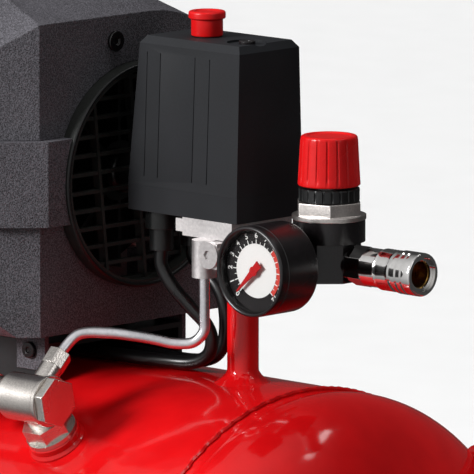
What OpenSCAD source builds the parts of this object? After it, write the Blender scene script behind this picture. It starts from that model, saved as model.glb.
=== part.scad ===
/* [Tank] */
// Outer radius of the tank
tank_r = 150; // [125:1:185]
// Length of the tank between the ends of its straight part
tank_straight = 628; // [560:1:760]
// Wall of the tank
tank_wall = 2.5; // [2:0.1:4]
// Depth of each dished end
head_depth = 75; // [60:1:95]
// Straight skirt of each dished end
head_skirt = 15; // [13:1:20]
// Distance from the riser to the end of the straight part on the outlet side
riser_inset = 60; // [45:1:80]
// Height of the tank above the floor
ground_clearance = 50; // [40:1:80]
// Outer radius of the riser pipe
riser_r = 8.6; // [7:0.1:11]
// Wall of the riser pipe
riser_wall = 2.3; // [1.5:0.1:3]

/* [Wheels and feet] */
// Outer radius of a tyre
tyre_r = 80; // [65:1:100]
// Width of a tyre
tyre_w = 36; // [28:1:50]
// Radius of the rim that carries the tyre
rim_r = 56; // [44:1:62]
// Radius of a wheel bolt
axle_r = 6; // [5:0.5:8]
// Distance from the riser back to the wheels
wheel_back = 500; // [430:1:540]
// Radius of a rubber foot
foot_r = 19; // [14:1:25]
// Height of a rubber foot
foot_h = 25; // [18:1:32]

/* [Handle] */
// Outer radius of the handle tube
handle_r = 11; // [9:0.5:14]
// Wall of the handle tube
handle_wall = 2; // [1.5:0.1:3]
// Half of the distance between the two legs
handle_half = 100; // [85:1:105]
// Distance from the riser to the crossbar
handle_reach = 274; // [240:1:330]
// Upward tilt of the handle
handle_tilt = 6; // [0:0.5:12]
// Length of the rubber grip
grip_len = 110; // [80:1:120]

/* [Pump] */
// Height of the motor shaft above the tank
shaft_h = 105.5; // [98:0.5:120]
// Bore radius of the cylinder
bore_r = 23.5; // [20:0.1:26]
// Crank throw
throw = 17; // [14:0.5:19]
// Length of the connecting rod between centres
rod_len = 56; // [54:0.5:58]
// Distance from the riser back to the cylinder axis
pump_back = 285; // [275:1:310]
// Outer radius of the stator
stator_r = 62; // [54:1:64]
// Radius of the motor shaft
shaft_r = 8.5; // [7:0.1:10]
// Outer radius of the fan
fan_r = 55; // [46:1:57]

/* [Shroud] */
// Distance from the riser back to the fan end of the shroud
shroud_near = 80; // [70:1:90]
// Length of the shroud
shroud_len = 330; // [300:1:360]
// Half width of the shroud
shroud_half = 98; // [90:1:110]
// Half width of its flat end face
end_half = 75; // [70:1:82]
// Height of the bottom edge above the tank
shroud_bottom = 23; // [20:1:28]
// Height where the sloping roof starts
shroud_eave = 194; // [180:1:205]
// Height of the flat roof
shroud_top = 240; // [236:1:270]
// Wall of the shroud
shroud_wall = 3; // [2:0.1:4]
// Bottom of the raised belt
belt_low = 84; // [70:1:95]
// Top of the raised belt
belt_high = 131; // [115:1:140]
// Outer radius of the grille rim
grille_r = 62; // [58:1:68]
// Distance between the cross bars of the grille
bar_pitch = 10.1; // [8:0.1:14]

/* [Pressure switch] */
// Height of the switch above the tank
switch_h = 90.4; // [85:0.1:100]
// Length of the switch base
switch_len = 82; // [70:1:95]
// Width of the switch base
switch_w = 51.2; // [44:0.1:60]
// Height of the switch base
switch_base_h = 13.9; // [10:0.1:18]
// Height of the cover
cover_h = 81.7; // [65:0.1:95]
// Wall of the cover
cover_wall = 2.5; // [1.5:0.1:3.5]
// Radius of the button body
button_r = 8.65; // [7:0.05:10]
// Travel of the button
button_travel = 7; // [4:0.5:9]
// Radius of a lead
lead_r = 3.75; // [3:0.05:4.5]

/* [Regulator and gauge] */
// Distance from the riser to the regulator axis
regulator_x = 64; // [58:1:75]
// Height of the ports above the tank
port_h = 73; // [71:0.5:76]
// Lower radius of the knob
knob_r = 16.9; // [14:0.1:20]
// Height of the knob
knob_h = 27; // [20:1:34]
// Width across the flats of the bonnet nut
bonnet_af = 33; // [28:0.5:36]
// Outer radius of the gauge
gauge_r = 24.5; // [20:0.5:28]
// Depth of the gauge case
gauge_depth = 24; // [20:1:30]

/* [Coupler] */
// Mouth radius of the coupler
mouth_r = 7.5; // [6:0.1:8]
// Depth of the coupler mouth
mouth_len = 20; // [16:0.5:24]
// Outer radius of the sleeve at its end ring
sleeve_r = 11.7; // [11.4:0.1:14]
// Travel of the sleeve
sleeve_travel = 6; // [4:0.5:6.5]

/* [Check valve and pipes] */
// Distance from the riser back to the check valve
valve_back = 54.2; // [50:0.1:70]
// Angle of the check valve from the top of the tank
valve_angle = 36; // [30:1:45]
// Height of the check valve axis above the tank wall
valve_h = 32; // [29:0.5:40]
// Outer radius of the check valve body
valve_r = 13; // [11:0.1:15]
// Radius of the unloader tube
tube_r = 3; // [2:0.1:4]
// Radius of the delivery pipe
pipe_r = 6; // [4.5:0.1:7]

/* [Hidden] */
$fn = 64;
// Clearances
slack = 0.3;
run_fit = 0.05;
eps = 0.5;
// Heights are measured from the top of the tank, lengths from the riser axis
tank_top = ground_clearance + 2 * tank_r;
tank_right = riser_inset;
tank_left = riser_inset - tank_straight;
shell_right = tank_right - head_skirt;
shell_left = tank_left + head_skirt;
shell_len = shell_right - shell_left;
grip_r = handle_r + 4;
crossbar_x = handle_reach;
far_right = crossbar_x + grip_r;
far_left = tank_left - head_depth;
mid_x = (far_right + far_left) / 2;
// Wheels
ear_t = 4;
ear_in = 132;
ear_half_len = 25;
hub_in = tank_r + 2;
hub_out = hub_in + tyre_w;
axle_z = tyre_r - tank_top;
wheel_x = -wheel_back;
// Feet
foot_x = 22;
foot_y = 70;
strap_t = 3;
strap_w = 30;
strap_web_y = 60;
// Handle: the legs start where the dished end is head_bite past its own skirt
handle_bend = 45;
handle_lead = 4;
head_bite = 24;
head_r_there = tank_r * sqrt(1 - pow(head_bite / head_depth, 2));
handle_start = [riser_inset + head_bite, 0, sqrt(pow(head_r_there, 2) - pow(handle_half, 2)) - tank_r];
handle_far = (crossbar_x - handle_start[0]) / cos(handle_tilt);
// Pump plate
plate_half = 52;
plate_t = 3;
plate_top = 15;
plate_near = -shroud_near - 17;
plate_far = -shroud_near - shroud_len + 45;
isolator_r = 10;
isolator_h = 15;
base_z = plate_top + isolator_h;
foot_t = 8;
lead_hole_x = -165;
// Pump
crank_x = -pump_back;
case_right = crank_x + 50;
case_left = crank_x - 45;
case_half = 45;
case_wall = 7;
case_top = shaft_h + 44.5;
cylinder_top = shaft_h + rod_len + throw + 14;
valve_plate_t = 4;
spigot_wall = 3.5;
spigot_gap = 0.3;
cyl_head_h = 20;
cyl_head_half = 37;
cover_t = 8;
rod_t = 12;
disc_t = 12;
disc_gap = 0.5;
disc_r = 25;
pin_r = 6;
wrist_r = 5;
rod_eye_r = 13;
small_eye_r = 9;
wrist_z = shaft_h - throw + rod_len;
crown = 13;
skirt = 12;
shield_x = -shroud_near - 50;
shield_t = 8;
bearing_r = 20;
bearing_w = 12;
fan_x = -shroud_near - 36;
fan_w = 22;
fan_blades = 8;
port_y = 18;
port_z = cylinder_top + valve_plate_t + 9;
bolt_at = 28;
fin_r = bolt_at * sqrt(2) + 4;
filter_r = 27;
filter_neck_r = 9;
tie_at = 46;
tie_r = 2.5;
glass_z = 62;
filler_z = 118;
disc_x = crank_x + rod_t / 2 + 3.5;
// Shroud
shroud_far = -shroud_near - shroud_len;
shroud_chamfer = 14;
end_chamfer = shroud_half - end_half;
tail_chamfer = 30;
round_w = shroud_half - 10;
round_h = 85;
end_slope = 14.5;
roof_run = (shroud_top - shroud_eave) / tan(end_slope);
tail_run = 40;
tail_drop = 14;
shoulder = 37.5;
bar_shift = 3.4;
belt_out = 2;
belt_end = 6.5;
tab_w = 22;
grille_rim = 4;
grille_out = belt_end + 1;
bar_t = 2;
bar_lean = 6;
post_pitch = 29;
screw_y = -17.5;
screw_z = shroud_eave - 14;
// Switch
switch_x = -21;
switch_top = switch_h + switch_base_h + cover_h;
cover_z = switch_h + switch_base_h;
button_x = -26;
button_y = -1;
button_gap = 0.4;
neck_r = button_r - 1.65;
flange_r = button_r + 1.45;
button_body_h = 9.6;
button_flange_h = 4;
gland_x = -50;
gland_y = 12;
gland_r = 9;
gland_nut_r = 6.6;
gland_h = 10.4;
gland_nut_h = 12;
recess_x = 6;
recess_y = -3;
recess_depth = 1.2;
// Manifold
block_half = 16;
block_low = 62;
block_flange_h = 10;
unload_x = -2;
unload_y = -28;
unload_r = 6.7;
unload_low = 64;
// Regulator
reg_r = 17;
reg_low = port_h - 10;
reg_mid = 84;
reg_top = 96;
reg_upper_r = 19.5;
ring_r = 20;
ring_h = 2.5;
bonnet_h = 7;
lock_z = reg_top + ring_h + bonnet_h;
lock_h = 7;
lock_r = 16.5;
knob_z = lock_z + lock_h + 1.6;
stem_r = 7;
gauge_face = -62;
gauge_back = gauge_face + gauge_depth;
dial_in = 6;
dial_t = 1;
needle_len = 17;
needle_tail = 6;
// Coupler
outlet_len = 3;
coupler_x = regulator_x + reg_r + outlet_len;
hex_len = 11;
coupler_af = 19;
barrel_r = 10.4;
barrel_x = coupler_x + hex_len;
sleeve_x = coupler_x + 21;
barrel_end = sleeve_x + 6;
sleeve_end = sleeve_x + 28;
nose_r = mouth_r + 1.9;
nose_end = sleeve_end - 2;
knurl_r = sleeve_r - 0.45;
// Check valve
valve_n = [0, -sin(valve_angle), cos(valve_angle)];
valve_c = [-valve_back, 0, -tank_r] + (tank_r + valve_h) * valve_n;
boss_h = 6;
valve_right = 12;
cap_flange = 2.5;
cap_hex = 5.5;
cap_af = 24;
neck_len = 30;
nut_len = 16;
nut_af = 22;
side_dir = [0, sqrt(0.5), sqrt(0.5)];
side_len = 21;
side_nut = 10;
// Safety valve
safety_x = -2;
safety_len = 34;
// Drain
drain_x = -250;

// Route of the unloader tube
TUBE = [
    valve_c + (side_len + 1) * side_dir, valve_c + (side_len + 6) * side_dir,
    valve_c + (side_len + 12) * side_dir, [-51, -74, 28.6], [-40, -62, 29], [-30, -53, 27.5], [-22, -45, 25.5], [-15, -38.5, 23.5],
    [-7, -32, 24], [unload_x - 0.5, unload_y, 30], [unload_x, unload_y, 40],
    [unload_x, unload_y, 52], [unload_x, unload_y, unload_low]
];
// Route of the delivery pipe
PIPE = [
    valve_c - [neck_len + 1, 0, 0], valve_c - [neck_len + 8, 0, 0],
    valve_c - [neck_len + 20, 0, 0], valve_c - [neck_len + 60, 0, 0], valve_c - [200, 0, 0],
    valve_c - [250, 0, 0], valve_c + [-285, 6, 0], valve_c + [-312, 26, 3],
    [-382, -52, 8], [-389, -34, 26], [-391, -26, 60], [-391, -22, 110], [-390, -19, 160],
    [-383, -port_y, port_z - 22], [-366, -port_y, port_z - 4], [-348, -port_y, port_z],
    [-336, -port_y, port_z], [crank_x - cyl_head_half, -port_y, port_z]
];
// Routes of the two leads
LEAD_A = [
    [gland_x, -gland_y, switch_h - gland_h - gland_nut_h], [gland_x, -gland_y, 59], [-44, -9.5, 48], [-35, -5, 37],
    [-27, -1, 28], [-24.5, 1, 19], [-28, 1.5, 10.5], [-38, 0, 5.5], [-55, -3, 4.6], [-90, -7, 4.6],
    [-125, -8, 4.6], [-150, -8, 4.9], [-160, -8, 8], [lead_hole_x, -8, 17], [lead_hole_x, -8, 30],
    [lead_hole_x, -8, 43.5]
];
LEAD_B = [
    [gland_x, gland_y, switch_h - gland_h - gland_nut_h], [gland_x + 1, gland_y, 61], [-41, gland_y, 54], [-32, 12.5, 47],
    [-27, 13, 38], [-26, 13.5, 26], [-28, 13.5, 15], [-34, 12.5, 7.5], [-46, 10.5, 4.4], [-70, 8.5, 4.4],
    [-125, 8, 4.4], [-150, 8, 4.8], [-160, 8, 8], [lead_hole_x, 8, 17], [lead_hole_x, 8, 30],
    [lead_hole_x, 8, 43.5]
];

// ---- helpers ----

// Moves a piece from the riser's own frame to the row frame
module place() {
    translate([-mid_x, 0, tank_top]) children();
}

// Turns +Z to +X, to -X, to -Y or to +Y
module to_x() {
    rotate([0, 90, 0]) children();
}
module to_minus_x() {
    rotate([0, -90, 0]) children();
}
module to_front() {
    rotate([90, 0, 0]) children();
}
module to_rear() {
    rotate([-90, 0, 0]) children();
}

// Copies at +Y and -Y
module both_sides() {
    children();
    mirror([0, 1, 0]) children();
}

// Hexagon across flats af, height h
module hexagon(af, h) {
    cylinder(r = af / sqrt(3), h = h, $fn = 6);
}

// Tube from z to z + h
module ring(outer, inner, h) {
    difference() {
        cylinder(r = outer, h = h);
        translate([0, 0, -eps]) cylinder(r = inner, h = h + 2 * eps);
    }
}

function unit(v) = v / norm(v);

// Smooth curve through the points p, n steps a span
function curve(p, n) = concat([
    for (i = [0 : len(p) - 2])
        for (k = [0 : n - 1])
            let (t = k / n, a = p[max(i - 1, 0)], b = p[i], c = p[i + 1], d = p[min(i + 2, len(p) - 1)])
                0.5 * (2 * b + (c - a) * t + (2 * a - 5 * b + 4 * c - d) * t * t
                    + (3 * b - a - 3 * c + d) * t * t * t)
], [p[len(p) - 1]]);
function tangent(c, i) = unit(c[min(i + 1, len(c) - 1)] - c[max(i - 1, 0)]);
// Normals carried along the curve without twist
function carried(c, i, last) = i == len(c) ? [] :
    let (t = tangent(c, i), m = unit(last - (last * t) * t)) concat([m], carried(c, i + 1, m));

// Solid tube of radius r along the points p
module swept(p, r, sides, steps) {
    c = curve(p, steps);
    m = carried(c, 0, unit(cross(tangent(c, 0), [0.31, 0.87, 0.38])));
    pts = [
        for (i = [0 : len(c) - 1])
            let (t = tangent(c, i), s = cross(t, m[i]))
                for (k = [0 : sides - 1]) c[i] + r * (cos(360 * k / sides) * m[i] + sin(360 * k / sides) * s)
    ];
    last = (len(c) - 1) * sides;
    faces = concat(
        [[for (k = [0 : sides - 1]) k]],
        [[for (k = [sides - 1 : -1 : 0]) last + k]],
        [for (i = [0 : len(c) - 2]) for (k = [0 : sides - 1])
            let (q = (k + 1) % sides, a = i * sides) [a + k, a + sides + k, a + sides + q]],
        [for (i = [0 : len(c) - 2]) for (k = [0 : sides - 1])
            let (q = (k + 1) % sides, a = i * sides) [a + k, a + sides + q, a + q]]
    );
    polyhedron(points = pts, faces = faces, convexity = 6);
}

// ---- tank ----

module tank_axis(x) {
    translate([x, 0, -tank_r]) to_x() children();
}

// Everything inside the tank's outer cylinder
module tank_bulk() {
    tank_axis(shell_left) cylinder(r = tank_r, h = shell_len);
}

module valve_axis(d) {
    translate([-valve_back, 0, -tank_r] + (tank_r + d) * valve_n) rotate([valve_angle, 0, 0]) children();
}

module tank_shell() {
    color("#c41818") place() difference() {
        tank_bulk();
        tank_axis(shell_left - eps) cylinder(r = tank_r - tank_wall, h = shell_len + 2 * eps);
        translate([0, 0, -tank_wall * 2]) cylinder(r = riser_r - riser_wall, h = tank_wall * 3);
        valve_axis(-tank_wall * 2) cylinder(r = 6, h = tank_wall * 3);
        translate([drain_x, 0, -2 * tank_r - tank_wall]) cylinder(r = 4, h = tank_wall * 3);
    }
}

// Half outline of a dished end: lip inside the shell, weld bead, joggle, skirt and ellipse
function head_outline(w) =
    let (lip = tank_r - tank_wall - 0.1, n = 40, lip_len = 18)
    concat(
        [[lip - w, -lip_len], [lip, -lip_len], [lip, 0], [tank_r, 0], [tank_r, -3], [tank_r + 1.1, -1.8]],
        [[tank_r + 1.5, 0], [tank_r + 1.1, 1.8], [tank_r, 3], [tank_r - 1.3, 5]],
        [[tank_r - 1.3, 8], [tank_r, head_skirt - 3]],
        [for (i = [0 : n]) [tank_r * cos(90 * i / n), head_skirt + head_depth * sin(90 * i / n)]],
        [for (i = [n : -1 : 0]) [(tank_r - w) * cos(90 * i / n), head_skirt + (head_depth - w) * sin(90 * i / n)]],
        [[tank_r - w - 1.3, 8], [tank_r - w - 1.3, 4], [lip - w, 1]]
    );

module one_head() {
    rotate_extrude($fn = 96) polygon(head_outline(tank_wall));
}

module tank_heads() {
    color("#c41818") place() {
        tank_axis(shell_right) one_head();
        translate([shell_left, 0, -tank_r]) to_minus_x() one_head();
    }
}

// Solid of the outlet end, used to trim what is welded to it
module head_bulk() {
    n = 40;
    tank_axis(shell_right) rotate_extrude($fn = 96) polygon(concat(
        [[0, 0], [tank_r, 0], [tank_r, head_skirt]],
        [for (i = [1 : n]) [tank_r * cos(90 * i / n), head_skirt + head_depth * sin(90 * i / n)]]
    ));
}

module tank_fittings() {
    flare = 9;
    color("#c41818") place() {
        difference() {
            union() {
                translate([0, 0, -eps]) cylinder(r = riser_r, h = block_low + eps);
                translate([0, 0, -2]) cylinder(r1 = riser_r + 9, r2 = riser_r, h = flare);
            }
            translate([0, 0, -5]) cylinder(r = riser_r - riser_wall, h = block_low + 6);
            tank_bulk();
        }
        difference() {
            valve_axis(-2) cylinder(r = 15, h = boss_h + 2);
            valve_axis(-3) cylinder(r = 6, h = boss_h + 6);
            tank_bulk();
        }
        difference() {
            translate([drain_x, 0, -2 * tank_r - 8]) cylinder(r = 13, h = 12);
            translate([drain_x, 0, -2 * tank_r - 9]) cylinder(r = 4, h = 20);
            tank_bulk();
        }
    }
}

module pump_plate() {
    long = plate_near - plate_far;
    color("#1c1c1e") place() difference() {
        translate([plate_far, -plate_half, -plate_top]) cube([long, 2 * plate_half, 2 * plate_top]);
        translate([plate_far - eps, -plate_half + plate_t, -plate_top - eps])
            cube([long + 2 * eps, 2 * (plate_half - plate_t), 2 * plate_top - plate_t + eps]);
        tank_bulk();
        for (y = [-8, 8]) translate([lead_hole_x, y, 0]) cylinder(r = lead_r + 4, h = 2 * plate_top);
    }
}

function isolator_x() = [case_left + 12, case_right - 12, shield_x - shield_t / 2];

module rubber_mounts() {
    color("#222222") place() {
        for (x = isolator_x()) both_sides()
            translate([x, 32, plate_top]) difference() {
                cylinder(r = isolator_r, h = isolator_h);
                translate([0, 0, isolator_h / 2]) rotate_extrude() translate([isolator_r + 1, 0]) circle(r = 3);
            }
        both_sides() translate([foot_x, foot_y, -tank_top]) cylinder(r1 = foot_r, r2 = foot_r - 3, h = foot_h);
    }
}

module tank_brackets() {
    ear_low = axle_z - 22;
    color("#c41818") place() {
        // Foot strap
        translate([foot_x - strap_w / 2, -foot_y - foot_r, foot_h - tank_top])
            cube([strap_w, 2 * (foot_y + foot_r), strap_t]);
        difference() {
            both_sides() translate([foot_x - strap_w / 2, strap_web_y, foot_h - tank_top + strap_t])
                cube([strap_w, strap_t, tank_r]);
            tank_bulk();
            tank_trim_above();
        }
        // Wheel ears, one welded to each side of the tank
        difference() {
            both_sides() translate([wheel_x - ear_half_len, ear_in, ear_low])
                cube([2 * ear_half_len, ear_t, tank_r]);
            tank_bulk();
            tank_trim_above();
            translate([wheel_x, -tank_r * 2, axle_z]) to_rear() cylinder(r = axle_r + run_fit, h = 4 * tank_r);
        }
    }
}

// Everything above the tank's axis, for trimming brackets
module tank_trim_above() {
    translate([tank_left - tank_r, -2 * tank_r, -tank_r]) cube([tank_straight + 3 * tank_r, 4 * tank_r, 2 * tank_r]);
}

module wheel_bolts() {
    spacer_r = axle_r + 4;
    cap_h = 7;
    color("#b9bcc0") place() both_sides() translate([wheel_x, 0, axle_z]) {
        translate([0, ear_in - 7, 0]) to_rear() hexagon(18, 7);
        translate([0, ear_in, 0]) to_rear() cylinder(r = axle_r, h = hub_out + slack - ear_in);
        translate([0, ear_in + ear_t, 0]) to_rear() cylinder(r = spacer_r, h = hub_in - slack - ear_in - ear_t);
        translate([0, hub_out + slack, 0]) to_rear() cylinder(r1 = spacer_r, r2 = spacer_r - 2, h = cap_h);
    }
}

module hub() {
    boss_r = axle_r + 10;
    windows = 6;
    window_r = (rim_r - 7 - boss_r) / 2 - 3;
    translate([wheel_x, hub_in, axle_z]) to_rear() difference() {
        union() {
            ring(rim_r, rim_r - 4, tyre_w);
            translate([0, 0, tyre_w / 2 - 4]) ring(rim_r - 3.5, boss_r - 1, 8);
            cylinder(r = boss_r, h = tyre_w);
        }
        translate([0, 0, -eps]) cylinder(r = axle_r + run_fit, h = tyre_w + 2 * eps);
        for (i = [0 : windows - 1]) rotate([0, 0, 360 * i / windows])
            translate([(boss_r + rim_r - 4) / 2, 0, 0]) cylinder(r = window_r, h = tyre_w);
    }
}

module tyre() {
    shoulder = 8;
    tread = tyre_r - rim_r;
    translate([wheel_x, hub_in, axle_z]) to_rear() rotate_extrude($fn = 96) polygon(concat(
        [[rim_r, 2], [rim_r, tyre_w - 2], [rim_r + 5, tyre_w]],
        [for (a = [90 : -15 : 0]) [rim_r + tread - shoulder + shoulder * cos(a), tyre_w - shoulder + shoulder * sin(a)]],
        [for (a = [0 : 15 : 90]) [rim_r + tread - shoulder + shoulder * cos(a), shoulder - shoulder * sin(a)]],
        [[rim_r + 5, 0]]
    ));
}

module wheel_hub_rear() {
    color("#c41818") place() hub();
}
module wheel_hub_front() {
    color("#c41818") place() mirror([0, 1, 0]) hub();
}
module tyre_rear() {
    color("#1e1e1e") place() tyre();
}
module tyre_front() {
    color("#1e1e1e") place() mirror([0, 1, 0]) tyre();
}

// ---- handle ----

// The handle's own frame: local +X along the legs, origin where the legs meet the tank
module handle_frame() {
    translate(handle_start) rotate([0, -handle_tilt, 0]) children();
}

// U of radius r
module handle_u(r) {
    straight = handle_far - handle_bend + handle_lead;
    both_sides() {
        translate([-handle_lead, handle_half, 0]) to_x() cylinder(r = r, h = straight);
        translate([handle_far - handle_bend, handle_half - handle_bend, 0])
            rotate_extrude(angle = 90) translate([handle_bend, 0]) circle(r = r);
    }
    translate([handle_far, -handle_half + handle_bend, 0]) to_rear()
        cylinder(r = r, h = 2 * (handle_half - handle_bend));
}

module handle_tube() {
    color("#c41818") place() difference() {
        handle_frame() handle_u(handle_r);
        handle_frame() handle_u(handle_r - handle_wall);
        tank_bulk();
        head_bulk();
    }
}

module handle_grip() {
    color("#1e1e1e") place() handle_frame() translate([handle_far, -grip_len / 2, 0]) to_rear()
        ring(grip_r, handle_r, min(grip_len, 2 * (handle_half - handle_bend) + grip_r));
}

// ---- drain ----

module drain_body() {
    z = -2 * tank_r - 8;
    color("#c9a24b") place() translate([drain_x, 0, z]) difference() {
        union() {
            translate([0, 0, -6]) hexagon(17, 6);
            translate([0, 0, -12]) cylinder(r = 6.5, h = 6);
        }
        translate([0, 0, -13]) cylinder(r = 3 + run_fit, h = 14);
    }
}

module drain_knob() {
    z = -2 * tank_r - 8;
    color("#c9a24b") place() translate([drain_x, 0, z]) {
        translate([0, 0, -13]) cylinder(r = 3, h = 9);
        difference() {
            translate([0, 0, -12.3 - 8]) cylinder(r = 9, h = 8);
            for (i = [0 : 9]) rotate([0, 0, 36 * i]) translate([9.6, 0, -12.3 - 9]) cylinder(r = 1.6, h = 10);
        }
    }
}

// ---- shroud ----

// Lays a (Y, Z) outline along X from x0 to x1
module along_x(x0, x1) {
    translate([x0, 0, 0]) rotate([90, 0, 90]) linear_extrude(x1 - x0) children();
}

// Upper cross-section below a roof line at zero, drawn inset by t
module roof_section(t) {
    polygon(concat(
        [[-shroud_half + t, -shroud_top - eps], [shroud_half - t, -shroud_top - eps]],
        [for (a = [0 : 7.5 : 90]) [
            shroud_half - round_w + (round_w - t) * cos(a), -round_h + (round_h - t) * sin(a)
        ]],
        [[-shroud_half + t, -t]]
    ));
}

// Plan of the shroud with its corners cut off, drawn inset by t
module shroud_plan(t, low, high) {
    near = end_chamfer - t * (2 - sqrt(2));
    far = tail_chamfer - t * (2 - sqrt(2));
    half = shroud_half - t;
    x0 = shroud_far + t;
    x1 = -shroud_near - t;
    translate([0, 0, low]) linear_extrude(high - low) polygon([
        [x0, -half + far], [x0 + far, -half], [x1 - near, -half], [x1, -half + near],
        [x1, half - near], [x1 - near, half], [x0 + far, half], [x0, half - far]
    ]);
}

// Roof that climbs from the fan end, runs flat and drops at the pump end
module roof_body(t) {
    climb = atan((shroud_top - shroud_eave) / roof_run);
    drop = atan(tail_drop / tail_run);
    tail = shroud_far + tail_run;
    long = 2 * shroud_len;
    intersection() {
        translate([-shroud_near, 0, shroud_eave]) rotate([0, climb, 0]) along_x(-long, long) roof_section(t);
        translate([tail, 0, shroud_top]) along_x(-long, long) roof_section(t);
        translate([tail, 0, shroud_top]) rotate([0, -drop, 0]) along_x(-long, long) roof_section(t);
    }
}

// What the sloping shoulder takes off the front
module shoulder_waste(t) {
    big = 2 * shroud_len;
    translate([shroud_far - big / 2, -end_half, shroud_eave]) rotate([shoulder, 0, 0])
        translate([0, -big / 2, -t]) cube([2 * big, big, big]);
}

module upper_bulk(t, low) {
    difference() {
        intersection() {
            roof_body(t);
            shroud_plan(t, low, shroud_top + eps);
        }
        shoulder_waste(t);
    }
}

module grille_bore(r) {
    translate([-shroud_near - 20, 0, shaft_h]) to_x() cylinder(r = r, h = 60, $fn = 96);
}

module shroud_upper() {
    color("#3d3b40") place() difference() {
        upper_bulk(0, belt_high);
        upper_bulk(shroud_wall, belt_high - eps);
        grille_bore(grille_r);
        translate([-shroud_near - 10, screw_y, screw_z]) to_x() cylinder(r = 3, h = 20);
        translate([shroud_far - 5, port_y, port_z]) to_x() cylinder(r = filter_neck_r + 1, h = 20);
    }
}

// Lower half below the belt line, its bottom edge cut back by the bottom chamfer
module lower_bulk(t) {
    over = t > 0 ? eps : 0;
    c = shroud_chamfer;
    half = shroud_half - t;
    intersection() {
        shroud_plan(t, shroud_bottom - over, belt_high + over);
        along_x(shroud_far - eps, -shroud_near + eps) polygon([
            [-half + c, shroud_bottom - over], [half - c, shroud_bottom - over], [half, shroud_bottom + c],
            [half, belt_high + over], [-half, belt_high + over], [-half, shroud_bottom + c]
        ]);
    }
}

module shroud_lower() {
    slot_w = 7;
    color("#3d3b40") place() {
        difference() {
            union() {
                lower_bulk(0);
                translate([belt_end, 0, 0]) shroud_plan(0, belt_low, belt_high);
                shroud_plan(-belt_out, belt_low, belt_high);
            }
            lower_bulk(shroud_wall);
            grille_bore(grille_r);
            // Service opening and air slots at the pump end
            translate([shroud_far - 10, -28, 44]) cube([20, 56, 34]);
            for (i = [0 : 7]) both_sides()
                translate([shroud_far + 50 + 22 * i, -shroud_half - 10, 46]) cube([slot_w, 20, 28]);
        }
        for (x = [plate_near, plate_far + tab_w]) both_sides() difference() {
            union() {
                translate([x - tab_w, plate_half, 0]) cube([tab_w, shroud_wall, shroud_bottom + shroud_wall]);
                translate([x - tab_w, plate_half, shroud_bottom])
                    cube([tab_w, shroud_half - shroud_chamfer - plate_half - 1, shroud_wall]);
            }
            translate([x - tab_w / 2, plate_half - 1, 11]) to_rear() cylinder(r = 2.5, h = 10);
        }
    }
}

module fan_grille() {
    back = -shroud_near - shroud_wall;
    rows = floor(grille_r / bar_pitch);
    color("#1b1b1d") place() {
        translate([back, 0, shaft_h]) to_x() ring(grille_r, grille_r - grille_rim, shroud_wall + grille_out);
        intersection() {
            grille_bore(grille_r - grille_rim + eps);
            union() {
                for (i = [-rows : rows])
                    translate([back, -grille_r, shaft_h + bar_shift + i * bar_pitch - bar_t / 2]) cube([4, 2 * grille_r, bar_t]);
                for (i = [-1 : 1])
                    translate([back, i * post_pitch - 1.5, shaft_h]) rotate([bar_lean, 0, 0])
                        translate([0, -bar_t / 2, -grille_r]) cube([5, bar_t, 2 * grille_r]);
            }
        }
    }
}

module case_screws() {
    color("#2a2a2c") place() {
        translate([recess_x, recess_y, switch_top - recess_depth]) difference() {
            union() {
                cylinder(r = 4.5, h = 2);
                translate([0, 0, recess_depth - cover_wall]) cylinder(r = 2.5, h = cover_wall - recess_depth);
            }
            translate([0, 0, 1]) hexagon(4, 2);
        }
        translate([-shroud_near, screw_y, screw_z]) to_x() difference() {
            union() {
                cylinder(r = 5.6, h = 2);
                translate([0, 0, -8]) cylinder(r = 3, h = 8);
            }
            translate([0, 0, 1]) hexagon(4, 2);
        }
        for (x = [plate_near, plate_far + tab_w]) both_sides()
            translate([x - tab_w / 2, plate_half + shroud_wall, 11]) to_rear() difference() {
                union() {
                    cylinder(r = 4.5, h = 2.5);
                    translate([0, 0, -shroud_wall]) cylinder(r = 2.5, h = shroud_wall);
                }
                translate([0, 0, 1.5]) hexagon(3, 2);
            }
    }
}

// ---- pump ----

module bolt_places() {
    for (x = [-bolt_at, bolt_at]) for (y = [-bolt_at, bolt_at]) translate([crank_x + x, y, 0]) children();
}

module tie_places() {
    for (y = [-tie_at, tie_at]) for (z = [-tie_at, tie_at]) translate([0, y, shaft_h + z]) children();
}

module crankcase() {
    case_len = case_right - case_left;
    right_wall = bearing_w + 2;
    low = base_z + foot_t;
    flange = 6;
    color("#a7a9ac") place() difference() {
        union() {
            translate([case_left, -case_half, low]) cube([case_len, 2 * case_half, case_top - low]);
            translate([case_left, -case_half - 3, base_z]) cube([case_len, 2 * (case_half + 3), foot_t]);
            translate([case_right - flange, -tie_at - 6, shaft_h - tie_at - 6])
                cube([flange, 2 * (tie_at + 6), 2 * (tie_at + 6)]);
            translate([case_right, 0, shaft_h]) to_x() ring(stator_r, stator_r - 4, 20);
        }
        translate([case_left - 1, -case_half + case_wall, low])
            cube([case_len - right_wall + 1, 2 * (case_half - case_wall), case_top - case_wall - low]);
        translate([case_right - right_wall - 1, 0, shaft_h]) to_x() cylinder(r = shaft_r + 3, h = right_wall + 2);
        translate([case_right - bearing_w, 0, shaft_h]) to_x() cylinder(r = bearing_r, h = bearing_w + 1);
        translate([crank_x, 0, case_top - case_wall - 1])
            cylinder(r = bore_r + spigot_wall + spigot_gap, h = case_wall + 2);
        bolt_places() translate([0, 0, case_top - case_wall + 1]) cylinder(r = 3, h = case_wall);
        tie_places() translate([case_right - flange - 1, 0, 0]) to_x() cylinder(r = tie_r, h = flange + 2);
    }
}

module crankcase_cover() {
    low = base_z + foot_t;
    color("#a7a9ac") place() difference() {
        translate([case_left - cover_t, -case_half, low]) cube([cover_t, 2 * case_half, case_top - low]);
        translate([case_left - cover_t - 1, 0, glass_z]) to_x() cylinder(r = 9, h = cover_t + 2);
        translate([case_left - cover_t - 1, 0, filler_z]) to_x() cylinder(r = 7, h = cover_t + 2);
    }
}

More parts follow.
